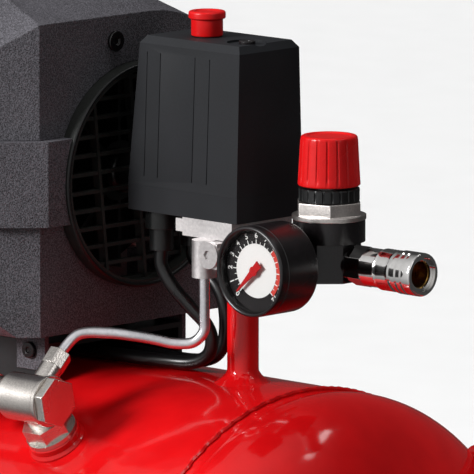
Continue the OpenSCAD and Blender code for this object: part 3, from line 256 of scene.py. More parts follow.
# Grey iron casting of the cylinder: rough dark grey
CAST_IRON = Finish("grey_iron_casting", "77797C", "54565A", 0.55, 0.8, Relief.CAST, 1.6, 0.15)
# Machined steel: grey with fine turning marks
STEEL = Finish("machined_steel", "AEB0B3", "8D8F93", 0.32, 1.0, Relief.BRUSHED, 0.8)
# Vulcanised rubber: deep black, dull with a slight bloom
RUBBER = Finish("vulcanised_rubber", "1D1D1E", "121213", 0.62, 0.0, Relief.CAST, 1.2, 0.04)
# Soft PVC sheath of the leads: black with a long narrow highlight
SHEATH = Finish("soft_pvc_sheath", "131314", "0B0B0C", 0.3, grain_mm=3, specular=0.4)
# Screen print on the dial: flat white, black and red
DIAL_WHITE = Finish("dial_white_print", "F4F3F1", "ECEBE8", 0.5, depth_mm=0.004, tint=0.3)
DIAL_DARK = Finish("dial_dark_print", "1F1B1C", "181516", 0.5, depth_mm=0.004, tint=0.3, specular=0.2)
DIAL_RED = Finish("dial_red_print", "D83A2A", "C92F22", 0.5, depth_mm=0.004, tint=0.3)
# Lacquer of the needle: flat strong red
NEEDLE_RED = Finish("needle_lacquer", "C4151A", "B01317", 0.4, depth_mm=0.004, tint=0.3, specular=0.2)
# Clear acrylic window: almost unseen but for its reflections
ACRYLIC = Finish(
    "clear_acrylic", "0A0A0A", "080808", 0.03, rough_span=0.01, grain_mm=20, depth_mm=0.001, alpha=0.05
)
# Window over amber oil: a glossy warm yellow spot
OIL_WINDOW = Finish("oil_window", "D8A545", "B07E2A", 0.08, grain_mm=6, depth_mm=0.01, alpha=0.85)


# ---- mesh helpers ----


def make_piece(bm: BMesh, name: str, finish: Finish, outward: bool = True) -> Object:
    """Turns a bmesh into a smooth-shaded object with sharp edges kept.

    Args:
        bm: the mesh, which is freed.
        name: the piece's name.
        finish: its material.
        outward: whether the normals are worked out again.

    Returns:
        The new object, at the origin.
    """
    if outward:
        bmesh.ops.recalc_face_normals(bm, faces=bm.faces)
    for face in bm.faces:
        face.smooth = True
    for edge in bm.edges:
        edge.smooth = len(edge.link_faces) == 2 and edge.calc_face_angle(0.0) < SHARP
    mesh = bpy.data.meshes.new(name)
    bm.to_mesh(mesh)
    bm.free()
    piece = bpy.data.objects.new(name, mesh)
    bpy.context.scene.collection.objects.link(piece)
    mesh.materials.append(finish.material())
    return piece


def seat(piece: Object, slot: str, *nodes: str, body: str = "root") -> None:
    """Rides a piece on a body and reports it.

    Args:
        piece: the piece.
        slot: a slot name; not used.
        nodes: the CAD nodes that it stands for.
        body: the body that carries it.
    """
    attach(piece, body)
    if nodes:
        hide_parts(*nodes)
    LOG.info("%s rides on %s", piece.name, body)


def lathe(outline: Outline, centre: Vector, axis: Vector, steps: int) -> BMesh:
    """Turns an outline round an axis.

    Args:
        outline: distance along the axis and radius of each point, in metres.
        centre: where the distance is zero.
        axis: direction of the axis.
        steps: faces round the turn.

    Returns:
        The closed mesh of the turned shape.
    """
    bm = bmesh.new()
    side = axis.orthogonal().normalized()
    verts = [bm.verts.new(centre + axis * along + side * radius) for along, radius in outline]
    edges = [bm.edges.new(pair) for pair in zip(verts, verts[1:])]
    turn = {"angle": 2 * pi, "steps": steps, "use_merge": True, "use_duplicate": False}
    bmesh.ops.spin(bm, geom=verts + edges, cent=centre, axis=axis, **turn)
    bmesh.ops.remove_doubles(bm, verts=bm.verts, dist=1e-6)
    return bm


def arc(along: float, radius: float, across: float, start: float, end: float, steps: int) -> Outline:
    """Points of a rounded corner for an outline.

    Args:
        along: centre's distance along the axis.
        radius: centre's distance from the axis.
        across: the corner's own radius.
        start: first angle in degrees, 0 along the axis and 90 away from it.
        end: last angle in degrees.
        steps: number of spans.

    Returns:
        The points from start to end.
    """
    turns = [radians(start + (end - start) * i / steps) for i in range(steps + 1)]
    return [(along + across * cos(t), radius + across * sin(t)) for t in turns]


def softened(node: str, name: str, finish: Finish, width: float, segments: int = 2) -> Object:
    """Copies a CAD node as a piece with its edges rounded.

    Args:
        node: the CAD node.
        name: the new piece's name.
        finish: its material.
        width: how wide the rounding is, in metres.
        segments: faces across the rounding.

    Returns:
        The new object.
    """
    bm = bmesh.new()
    bm.from_mesh(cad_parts[node].data)
    bmesh.ops.remove_doubles(bm, verts=bm.verts, dist=2e-6)
    bmesh.ops.dissolve_limit(bm, angle_limit=radians(0.6), verts=bm.verts, edges=bm.edges)
    piece = make_piece(bm, name, finish, outward=False)
    rounding = piece.modifiers.new("rounding", "BEVEL")
    rounding.width = width
    rounding.segments = segments
    rounding.limit_method = "ANGLE"
    rounding.angle_limit = ROUNDED
    flatten(piece)
    return piece


def rounded(
    node: str, name: str, finish: Finish, width: float, slot: str, body: str = "root", segments: int = 2
) -> None:
    """Stands a rounded copy in for a CAD node.

    Args:
        node: the CAD node.
        name: the new piece's name.
        finish: its material.
        width: how wide the rounding is, in metres.
        slot: the slot, handed on to seat.
        body: the body that carries it.
        segments: faces across the rounding.
    """
    seat(softened(node, name, finish, width, segments), slot, node, body=body)


def flatten(piece: Object) -> None:
    """Keeps a piece's large flat faces flat under smooth shading."""
    weighted = piece.modifiers.new("flat_faces", "WEIGHTED_NORMAL")
    weighted.keep_sharp = True
    weighted.weight = 100


def evaluated(piece: Object) -> Mesh:
    """Works out an object's mesh with its modifiers, or a curve's mesh.

    Args:
        piece: the object, linked to the scene.

    Returns:
        The new mesh.
    """
    bpy.context.view_layer.update()
    return bpy.data.meshes.new_from_object(piece.evaluated_get(bpy.context.evaluated_depsgraph_get()))


def meshed(curve: Curve) -> BMesh:
    """Turns a curve or a text into a mesh.

    Args:
        curve: the curve.

    Returns:
        Its mesh.
    """
    holder = bpy.data.objects.new("holder", curve)
    bpy.context.scene.collection.objects.link(holder)
    bm = bmesh.new()
    bm.from_mesh(evaluated(holder))
    bpy.data.objects.remove(holder)
    return bm


def catmull(points: list[Vector], steps: int) -> list[Vector]:
    """Smooth curve through points, the one the solids follow.

    Args:
        points: the route.
        steps: spans between two points.

    Returns:
        The curve's points.
    """
    out = []
    for i in range(len(points) - 1):
        a, b = points[max(i - 1, 0)], points[i]
        c, d = points[i + 1], points[min(i + 2, len(points) - 1)]
        for k in range(steps):
            t = k / steps
            bend = (2 * a - 5 * b + 4 * c - d) * t * t + (3 * b - a - 3 * c + d) * t**3
            out.append(0.5 * (2 * b + (c - a) * t + bend))
    return out + [points[-1]]


def tube(route: list[Vector], radius: float, name: str, finish: Finish) -> Object:
    """Makes a closed round tube along a route.

    Args:
        route: the points of the centreline.
        radius: the tube's radius.
        name: the piece's name.
        finish: its material.

    Returns:
        The new object.
    """
    bm = bmesh.new()
    heading = (route[1] - route[0]).normalized()
    start = Matrix.Translation(route[0]) @ Z.rotation_difference(heading).to_matrix().to_4x4()
    bmesh.ops.create_circle(bm, cap_ends=True, radius=radius, segments=24, matrix=start)
    faces = list(bm.faces)
    for i in range(1, len(route)):
        ahead = (route[min(i + 1, len(route) - 1)] - route[i - 1]).normalized()
        swung = heading.rotation_difference(ahead).to_matrix()
        grown = bmesh.ops.extrude_face_region(bm, geom=faces)["geom"]
        ring = [v for v in grown if isinstance(v, BMVert)]
        if i > 1:
            bmesh.ops.delete(bm, geom=faces, context="FACES_ONLY")
        faces = [f for f in grown if isinstance(f, BMFace)]
        bmesh.ops.translate(bm, verts=ring, vec=route[i] - route[i - 1])
        bmesh.ops.rotate(bm, verts=ring, cent=route[i], matrix=swung)
        heading = ahead
    return make_piece(bm, name, finish)


def riser_frame() -> Vector:
    """The riser axis at the top of the tank, from which the routes are measured."""
    low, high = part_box("switch_base")
    return Vector(((low.x + high.x) / 2 + SWITCH_BACK, 0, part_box("tank_shell")[1].z))


def round_node(node: str, axis: Vector, far: bool) -> tuple[Vector, float, float]:
    """Measures a round CAD node.

    Args:
        node: the CAD node.
        axis: the direction of its axis, one of X, Y and Z.
        far: whether its far end is wanted.

    Returns:
        The centre of one end, its radius and its length.
    """
    low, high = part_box(node)
    along, across = (axis.to_tuple().index(1.0), 0 if axis is Z else 2)
    centre = Vector([(a + b) / 2 for a, b in zip(low, high)])
    centre[along] = high[along] if far else low[along]
    return centre, (high[across] - low[across]) / 2, high[along] - low[along]


# ---- the studio ----


@dataclass
class Studio:
    """Camera, floor and light."""

    azimuth: float = 44.0
    elevation: float = 9.0
    distance: float = 4.595
    lens: float = 645.0
    look_at: tuple[float, float, float] = (0.1725, 0.0, 0.4283)
    bright_side: tuple[float, float, float] = (0.0, -1.0, 0.6)

    def stand(self, data: Camera | Light, place: Vector, facing: Vector) -> Object:
        """Stands a camera or a light in the scene.

        Args:
            data: the camera or the light.
            place: where it stands.
            facing: the direction in which it looks.

        Returns:
            Its object.
        """
        thing = bpy.data.objects.new(data.name, data)
        thing.location = place
        thing.rotation_mode = "QUATERNION"
        thing.rotation_quaternion = facing.to_track_quat("-Z", "Y")
        bpy.context.scene.collection.objects.link(thing)
        return thing

    def camera(self) -> None:
        """Stands the camera at the photograph's viewing angle."""
        a, e = radians(self.azimuth), radians(self.elevation)
        back = Vector((sin(a) * cos(e), -cos(a) * cos(e), sin(e)))
        data = bpy.data.cameras.new("camera")
        data.lens = self.lens
        bpy.context.scene.camera = self.stand(data, Vector(self.look_at) + back * self.distance, -back)

    def floor(self) -> None:
        """Lays a wide pale floor."""
        bm = bmesh.new()
        bmesh.ops.create_circle(bm, cap_ends=True, radius=30.0, segments=96)
        paint = Finish("pale_floor", "FBFBFB", "F8F8F8", 0.8, grain_mm=300, depth_mm=0.01, tint=0.2)
        floor = make_piece(bm, "floor", paint)
        floor.visible_diffuse = False
        floor.visible_glossy = False

    def sun(self, name: str, towards: Vector, energy: float, angle: float, mirrored: bool) -> None:
        """Adds a soft distant light.

        Args:
            name: the light's name.
            towards: direction from the object to the light.
            energy: its strength.
            angle: its apparent size in degrees.
            mirrored: whether glossy surfaces show it.
        """
        data = bpy.data.lights.new(name, "SUN")
        data.energy = energy
        data.angle = radians(angle)
        self.stand(data, Vector(), -towards).visible_glossy = mirrored

    def softbox(self, name: str, place: Vector, aim: Vector, size: tuple, energy: float) -> None:
        """Adds a rectangular area light that shows in polished metal.

        Args:
            name: the light's name.
            place: where it stands.
            aim: the point it faces.
            size: width and height in metres.
            energy: its power in watts.
        """
        data = bpy.data.lights.new(name, "AREA")
        data.shape = "RECTANGLE"
        data.size, data.size_y = size
        data.energy = energy
        self.stand(data, place, aim - place)

    def sky(self) -> None:
        """Surrounds the scene with a weak fill, a pale wall for polished surfaces and a white backdrop."""
        world = bpy.data.worlds.new("studio")
        world.use_nodes = True
        tree = world.node_tree
        tree.nodes.clear()
        direction = add(tree, "ShaderNodeTexCoord").outputs["Generated"]
        height = add(tree, "ShaderNodeSeparateXYZ", {"Vector": direction}).outputs["Z"]
        fade = {"Value": height, "From Min": -0.1, "From Max": 0.5, "To Min": 0.17, "To Max": 0.09}
        fill = add(tree, "ShaderNodeMapRange", fade).outputs[0]
        sides = {0: direction, 1: self.bright_side}
        facing = add(tree, "ShaderNodeVectorMath", sides, operation="DOT_PRODUCT").outputs["Value"]
        fade = {"Value": facing, "From Min": -0.1, "From Max": 1.0, "To Min": 0.06, "To Max": 0.85}
        wall = add(tree, "ShaderNodeMapRange", fade).outputs[0]
        rays = add(tree, "ShaderNodeLightPath").outputs
        either = {"Factor": rays["Is Glossy Ray"], "A": fill, "B": wall}
        level = add(tree, "ShaderNodeMix", either, data_type="FLOAT").outputs[0]
        either = {0: rays["Is Camera Ray"], 1: level}
        level = add(tree, "ShaderNodeMath", either, operation="MAXIMUM").outputs[0]
        shade = add(tree, "ShaderNodeBackground", {"Color": (1.0, 1.0, 1.0, 1.0), "Strength": level})
        add(tree, "ShaderNodeOutputWorld", {"Surface": shade.outputs[0]})
        bpy.context.scene.world = world
        bpy.context.scene.view_settings.view_transform = "Standard"

    def build(self) -> None:
        """Builds the whole studio."""
        self.camera()
        self.floor()
        self.sky()
        self.sun("key", Vector((-0.3, -0.88, 0.4)), 3.1, 16, True)
        self.sun("top", Vector((0.0, 0.1, 1.0)), 1.5, 40, False)
        self.softbox("front_box", Vector((-0.9, -2.2, 1.5)), Vector((0.1, 0, 0.4)), (0.5, 1.6), 20)
        self.softbox("top_strip", Vector((0.9, 0.9, 2.2)), Vector((0.2, 0, 0.4)), (0.8, 0.14), 2.5)
        self.softbox("end_strip", Vector((2.4, -0.2, 1.5)), Vector((0.2, 0, 0.4)), (0.4, 1.4), 4)
        LOG.info("studio built")


# ---- the tank ----


@dataclass
class Tank:
    """Pressure vessel with its welds, riser and bosses."""

    skirt: float = 15 * MM
    joggle: float = 1.3 * MM
    bead: float = 1.5 * MM
    ripples: int = 560
    riser_wall: float = 2.3 * MM
    riser_r: float = 8.6 * MM
    valve_boss_r: float = 15 * MM
    drain_boss_r: float = 13 * MM
    hole_r: float = 4 * MM

    def __post_init__(self) -> None:
        low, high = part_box("tank_shell")
        self.radius = (high.z - low.z) / 2
        self.axis_z = (high.z + low.z) / 2
        self.left, self.right = low.x, high.x
        self.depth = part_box("tank_heads")[1].x - high.x - self.skirt

    def half(self) -> Outline:
        """Outline of half the tank, measured outwards from the shell's edge.

        Returns:
            The points, from the tank's middle over the joggled seam to the dome's crown.
        """
        r, seam = self.radius, self.radius - self.joggle
        outline = [((self.left - self.right) / 2, r), (-12 * MM, r), (-3.5 * MM, r)]
        outline += [(4.5 * MM, seam), (8.5 * MM, seam), (self.skirt - 2 * MM, r)]
        rim = [radians(90 * i / 44) for i in range(45)]
        return outline + [(self.skirt + self.depth * sin(t), r * cos(t)) for t in rim]

    def body(self) -> None:
        """Spins both halves, each a shell and its end in one skin."""
        for side, edge, name, node in (
            (1, self.right, "tank_right_half", "tank_shell"),
            (-1, self.left, "tank_left_half", "tank_heads"),
        ):
            bm = lathe(self.half(), Vector((edge, 0, self.axis_z)), X * side, 160)
            seat(make_piece(bm, name, RED_ENAMEL), "red_enamel", node)

    def welds(self) -> None:
        """Lays the rippled weld bead round each end."""
        reach = self.radius - 0.2 * MM
        for edge, name in ((self.right, "weld_bead_right"), (self.left, "weld_bead_left")):
            curve = bpy.data.curves.new("bead", "CURVE")
            curve.dimensions = "3D"
            curve.bevel_depth = 1.0
            curve.bevel_resolution = 2
            spline = curve.splines.new("POLY")
            spline.points.add(self.ripples - 1)
            spline.use_cyclic_u = True
            for i, point in enumerate(spline.points):
                turn = 2 * pi * i / self.ripples
                along = edge + 0.35 * MM * sin(i * 0.9)
                point.co = (along, reach * cos(turn), self.axis_z + reach * sin(turn), 1)
                point.radius = self.bead * (1.0 + 0.12 * sin(i * 1.7))
            bm = meshed(curve)
            bmesh.ops.remove_doubles(bm, verts=bm.verts, dist=1e-6)
            seat(make_piece(bm, name, RED_ENAMEL), "red_enamel")

    def riser(self) -> None:
        """Turns the riser pipe with its uneven weld flare."""
        at = riser_frame()
        r, hollow, foot = self.riser_r, self.riser_r - self.riser_wall, -2 * MM
        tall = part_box("tank_fittings")[1].z - at.z
        outline = [(foot, r + 8.6 * MM)]
        outline += [(8 * MM * t - MM, r + 8.2 * MM * (1 - t) ** 2.2) for t in [i / 8 for i in range(9)]]
        outline += [(tall, r), (tall, hollow), (foot, hollow), outline[0]]
        bm = lathe(outline, at, Z, 64)
        rng = random.Random(5)
        for v in bm.verts:
            if 0 < v.co.z - at.z < 7 * MM and (v.co.xy - at.xy).length > r + 0.3 * MM:
                v.co.z += rng.uniform(-0.35, 0.35) * MM
        seat(make_piece(bm, "riser_pipe", RED_ENAMEL), "red_enamel", "tank_fittings")

    def bosses(self) -> None:
        """Turns the bosses of the check valve and the drain."""
        lean = radians(VALVE_TURN)
        outwards = Vector((0, -sin(lean), cos(lean)))
        root = Vector((riser_frame().x - VALVE_BACK, 0, self.axis_z)) + outwards * self.radius
        r, collar, foot, top = self.valve_boss_r, self.valve_boss_r + 1.4 * MM, -4 * MM, 6 * MM
        outline = [(foot, self.hole_r), (foot, collar), (0.6 * MM, collar - 0.1 * MM)]
        outline += [(1.4 * MM, collar - 0.8 * MM), (2.2 * MM, r), (5.2 * MM, r), (top, r - 0.8 * MM)]
        outline += [(top, self.hole_r), (foot, self.hole_r)]
        seat(make_piece(lathe(outline, root, outwards, 72), "valve_boss", RED_ENAMEL), "red_enamel")
        low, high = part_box("drain_body")
        centre = Vector(((low.x + high.x) / 2, 0, high.z))
        r, top = self.drain_boss_r, 12 * MM
        outline = [(0, self.hole_r), (0, r - MM), (MM, r), (8 * MM, r), (top, r + 3 * MM)]
        outline += [(top, self.hole_r), (0, self.hole_r)]
        seat(make_piece(lathe(outline, centre, Z, 48), "drain_boss", RED_ENAMEL), "red_enamel")

    def build(self) -> None:
        """Builds the whole tank."""
        self.body()
        self.welds()
        self.riser()
        self.bosses()
        rounded("tank_brackets", "tank_feet_and_ears", RED_ENAMEL, 0.8 * MM, "red_enamel")
        rounded("rubber_mounts", "rubber_feet", RUBBER, 1.2 * MM, "soft_rubber")


# ---- wheels and handle ----


@dataclass
class Wheels:
    """Tyres with a ribbed tread, and rims."""

    blocks: int = 44
    groove: float = 1.6 * MM
    shoulder: float = 8 * MM

    def tyre(self, side: str) -> None:
        """Builds one tyre with cross grooves in its tread.

        Args:
            side: front or rear.
        """
        node = "tyre_" + side
        low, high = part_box(node)
        hub_low, hub_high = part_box("wheel_hub_" + side)
        centre = (low + high) / 2
        outer, inner = (high.z - low.z) / 2, (hub_high.z - hub_low.z) / 2
        half, flat = (high.y - low.y) / 2, (high.y - low.y) / 2 - self.shoulder
        wall = [(-half + 2 * MM, inner), (-half, inner + 5 * MM), (-half, inner + 7 * MM)]
        wall += [(-half + MM, inner + 8 * MM), (-half, inner + 9 * MM)]
        wall += arc(-flat, outer - self.shoulder, self.shoulder, 180, 90, 5)
        tread = []
        for middle in (-0.66 * flat, 0.0, 0.66 * flat):
            sides = ((-1.6 * MM, 0), (-MM, self.groove), (MM, self.groove), (1.6 * MM, 0))
            tread += [(middle + along, outer - down) for along, down in sides]
        outline = wall + tread + [(-along, radius) for along, radius in reversed(wall)]
        per = 4
        bm = lathe(outline + outline[:1], centre, Y, self.blocks * per)
        for v in bm.verts:
            arm = Vector((v.co.x - centre.x, v.co.z - centre.z))
            step = round(atan2(arm.y, arm.x) / (2 * pi) * self.blocks * per)
            outside = arm.length > outer - 2 * self.groove and abs(v.co.y - centre.y) > 0.3 * half
            if outside and step % per == 0:
                arm *= (arm.length - self.groove) / arm.length
                v.co.x, v.co.z = centre.x + arm.x, centre.z + arm.y
        seat(make_piece(bm, node + "_tread", RUBBER), "tyre_rubber", node, body="wheel_" + side)

    def build(self) -> None:
        """Builds both wheels and their bolts."""
        for side in ("front", "rear"):
            self.tyre(side)
            rounded("wheel_hub_" + side, "rim_" + side, RED_ENAMEL, 0.8 * MM, "red_enamel", "wheel_" + side)
        rounded("wheel_bolts", "wheel_bolts_rounded", ZINC_PLATE, 0.5 * MM, "zinc_plate")


@dataclass
class Handle:
    """Ribbed grip of the tube handle."""

    ribs: int = 18
    rib_depth: float = 0.9 * MM
    corner: float = 1.5 * MM
    plain_end: float = 8 * MM

    def build(self) -> None:
        """Turns the grip and keeps the tube."""
        low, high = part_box("handle_grip")
        centre = (low + high) / 2
        outer = min(high.z - low.z, high.x - low.x) / 2
        inner, corner, half = outer - 4 * MM, self.corner, (high.y - low.y) / 2
        outline = [(-half, inner), (-half, outer - corner)]
        outline += arc(-half + corner, outer - corner, corner, 180, 90, 4)
        step = 2 * (half - self.plain_end) / self.ribs
        for i in range(self.ribs):
            start = -half + self.plain_end + i * step
            shape = ((0, 0), (0.25, self.rib_depth), (0.5, self.rib_depth), (0.75, 0))
            outline += [(start + share * step, outer - down) for share, down in shape]
        outline += arc(half - corner, outer - corner, corner, 90, 0, 4) + [(half, inner), (-half, inner)]
        seat(make_piece(lathe(outline, centre, Y, 48), "ribbed_grip", RUBBER), "soft_rubber", "handle_grip")


# ---- the shroud ----


@dataclass
class Shroud:
    """Grained motor cover with its belt, grille and screws."""

    edge: float = 1.8 * MM
    bead: float = 1.3 * MM

    def build(self) -> None:
        """Rounds the moulded edges and dresses the grille."""
        rounded("shroud_upper", "cover_top", GRAINED_ABS_PAINTED_GLINTS_AND_SHADE, self.edge, "shroud_plastic", segments=3)
        rounded("shroud_lower", "cover_bottom", GRAINED_ABS_PAINTED_GLINTS_AND_SHADE, self.edge, "shroud_plastic")
        centre = round_node("rotor", X, True)[0]
        outline = [(0.1 * MM, 0), (0.1 * MM, 12 * MM), (MM, 12.4 * MM)]
        outline += arc(2 * MM, 9 * MM, 3 * MM, 90, 10, 5) + [(5 * MM, 0)]
        cap = make_piece(lathe(outline, centre, X, 48), "fan_cap", BLACK_PP)
        seat(cap, "black_plastic", body="rotor_group")
        rounded("fan_grille", "grille", GRILLE_ABS, 0.5 * MM, "shroud_plastic")
        centre, radius, _ = round_node("fan_grille", X, True)
        bead = arc(-0.4 * MM, radius - self.bead, self.bead, 0, 360, 16)
        seat(make_piece(lathe(bead, centre, X, 128), "grille_bead", BLACK_PP), "shroud_plastic")
        rounded("case_screws", "cover_screws", BLACK_ZINC, 0.4 * MM, "black_metal")


# ---- pressure switch ----


@dataclass
class PressureSwitch:
    """Cover with shallow flutes, base, button and glands."""

    flutes: tuple[float, ...] = (12 * MM, 22 * MM, 48 * MM, 59 * MM)
    flute_w: float = 0.8 * MM
    flute_d: float = 0.5 * MM
    front_in: float = 1.6 * MM
    slope: float = 3.2 / 80

    def cover(self) -> None:
        """Rounds the cover and cuts the flutes in its leaning front."""
        piece = softened("switch_cover", "switch_hood", SWITCH_PA, 1.3 * MM, 3)
        low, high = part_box("switch_cover")
        cutter = bmesh.new()
        size = Vector((self.flute_w, 30 * MM, high.z - low.z - 14 * MM))
        lean = Matrix.Rotation(atan(self.slope), 4, "X").inverted()
        front = low.y + self.front_in + self.flute_d - size.y / 2
        middle = (low.z + high.z) / 2 - MM
        for at in self.flutes:
            made = bmesh.ops.create_cube(cutter, size=1.0)["verts"]
            bmesh.ops.scale(cutter, verts=made, vec=size)
            bmesh.ops.rotate(cutter, verts=made, cent=Vector(), matrix=lean)
            bmesh.ops.translate(cutter, verts=made, vec=Vector((low.x + at, front, middle)))
        tool = make_piece(cutter, "flute_cutter", SWITCH_PA)
        cut = piece.modifiers.new("flutes", "BOOLEAN")
        cut.operation = "DIFFERENCE"
        cut.object = tool
        cut.solver = "EXACT"
        mesh = evaluated(piece)
        piece.modifiers.clear()
        piece.data = mesh
        bpy.data.objects.remove(tool)
        flatten(piece)
        seat(piece, "switch_plastic", "switch_cover")

    def button(self) -> None:
        """Turns the pull button with a rounded cap and a dark neck."""
        low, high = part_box("switch_button")
        centre = Vector(((low.x + high.x) / 2, (low.y + high.y) / 2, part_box("switch_cover")[1].z))
        flange, top, gap, corner = (high.x - low.x) / 2, high.z - centre.z, 0.4 * MM, 0.8 * MM
        body = flange - 1.45 * MM
        outline = [(gap, 0), (gap, body - corner)] + arc(gap + corner, body - corner, corner, 180, 90, 3)
        outline += [(top - 4.6 * MM, body), (top - 4 * MM, flange - 0.3 * MM), (top - 3.6 * MM, flange)]
        outline += arc(top - 1.2 * MM, flange - 1.2 * MM, 1.2 * MM, 90, 0, 5)
        outline += [(top, flange - 3 * MM), (top - 0.5 * MM, flange - 3.6 * MM), (top - 0.5 * MM, 0)]
        cap = make_piece(lathe(outline, centre, Z, 64), "pull_button", RED_ABS)
        seat(cap, "button_plastic", "switch_button", body="button")
        neck, foot = body - 1.65 * MM, -13 * MM
        outline = [(gap, 0), (gap, neck), (foot, neck), (foot, 0)]
        stem = make_piece(lathe(outline, centre, Z, 48), "button_neck", BLACK_PP)
        seat(stem, "button_plastic", body="button")

    def build(self) -> None:
        """Builds the whole switch."""
        self.cover()
        self.button()
        rounded("switch_base", "switch_tray", SWITCH_PA, 0.8 * MM, "switch_plastic")
        rounded("cable_glands", "glands", BLACK_PP, 0.6 * MM, "black_plastic")


# ---- regulator, gauge and coupler ----


@dataclass
class Regulator:
    """Black body, zinc nut, fluted ring and red knob."""

    knob_flutes: int = 18
    ring_flutes: int = 22
    ring_hole: float = 8.3 * MM

    def fluted(self, outline: Outline, centre: Vector, count: int, depth: float, least: float) -> BMesh:
        """Turns an outline and presses flutes into its side.

        Args:
            outline: the profile along +Z.
            centre: the foot of the axis.
            count: number of flutes.
            depth: how deep they are.
            least: points nearer the axis than this stay.

        Returns:
            The fluted mesh.
        """
        per, half_width = 10, 0.14
        bm = lathe(outline, centre, Z, count * per)
        tall = max(along for along, radius in outline)
        for v in bm.verts:
            arm = v.co.xy - centre.xy
            if arm.length < least:
                continue
            turn = (atan2(arm.y, arm.x) / (2 * pi) * count) % 1.0
            press = max(0.0, 1 - abs(turn - 0.5) / half_width) ** 0.6
            rise = (v.co.z - centre.z) / tall
            fade = min(1.0, max(0.0, (0.97 - rise) * 12)) * min(1.0, max(0.0, (rise - 0.05) * 14))
            scaled = arm * (1 - depth * press * fade / arm.length)
            v.co.x, v.co.y = centre.x + scaled.x, centre.y + scaled.y
        return bm

    def knob(self) -> None:
        """Builds the knob with soft flutes and a sunk top."""
        centre, r, tall = round_node("regulator_knob", Z, False)
        taper, sunk = 1.5 * MM, tall - 0.6 * MM
        top = r - taper
        outline = [(1.2 * MM, 0), (1.2 * MM, r - 3 * MM), (0, r - 2.2 * MM)]
        outline += arc(0.9 * MM, r - 0.9 * MM, 0.9 * MM, 180, 90, 4)
        outline += [(tall * f, r - taper * f) for f in (0.1, 0.2, 0.4, 0.6, 0.8, 0.9)]
        outline += arc(tall - 1.6 * MM, top - 1.6 * MM, 1.6 * MM, 90, 0, 5)
        outline += [(tall, top - 3.4 * MM), (sunk, top - 4.2 * MM), (sunk, 0)]
        bm = self.fluted(outline, centre, self.knob_flutes, 0.75 * MM, r * 0.8)
        seat(make_piece(bm, "knob", RED_ABS), "knob_plastic", "regulator_knob", body="knob")

    def ring(self) -> None:
        """Builds the black locking ring."""
        centre, r, tall = round_node("lock_ring", Z, False)
        hole, edge = self.ring_hole, 0.5 * MM
        outline = [(0, hole), (0, r - edge), (edge, r), (tall * 0.3, r), (tall * 0.7, r), (tall - edge, r)]
        outline += [(tall, r - edge), (tall, hole), (0, hole)]
        bm = self.fluted(outline, centre, self.ring_flutes, 0.8 * MM, r * 0.9)
        seat(make_piece(bm, "locking_ring", BLACK_PP), "black_plastic", "lock_ring", body="lock")

    def build(self) -> None:
        """Builds the whole regulator."""
        self.knob()
        self.ring()
        rounded("regulator_body", "regulator_casting", BLACK_ZINC, 0.8 * MM, "black_metal", segments=3)
        rounded("bonnet_nut", "bonnet_nut_rounded", ZINC_PLATE, 0.4 * MM, "zinc_plate")


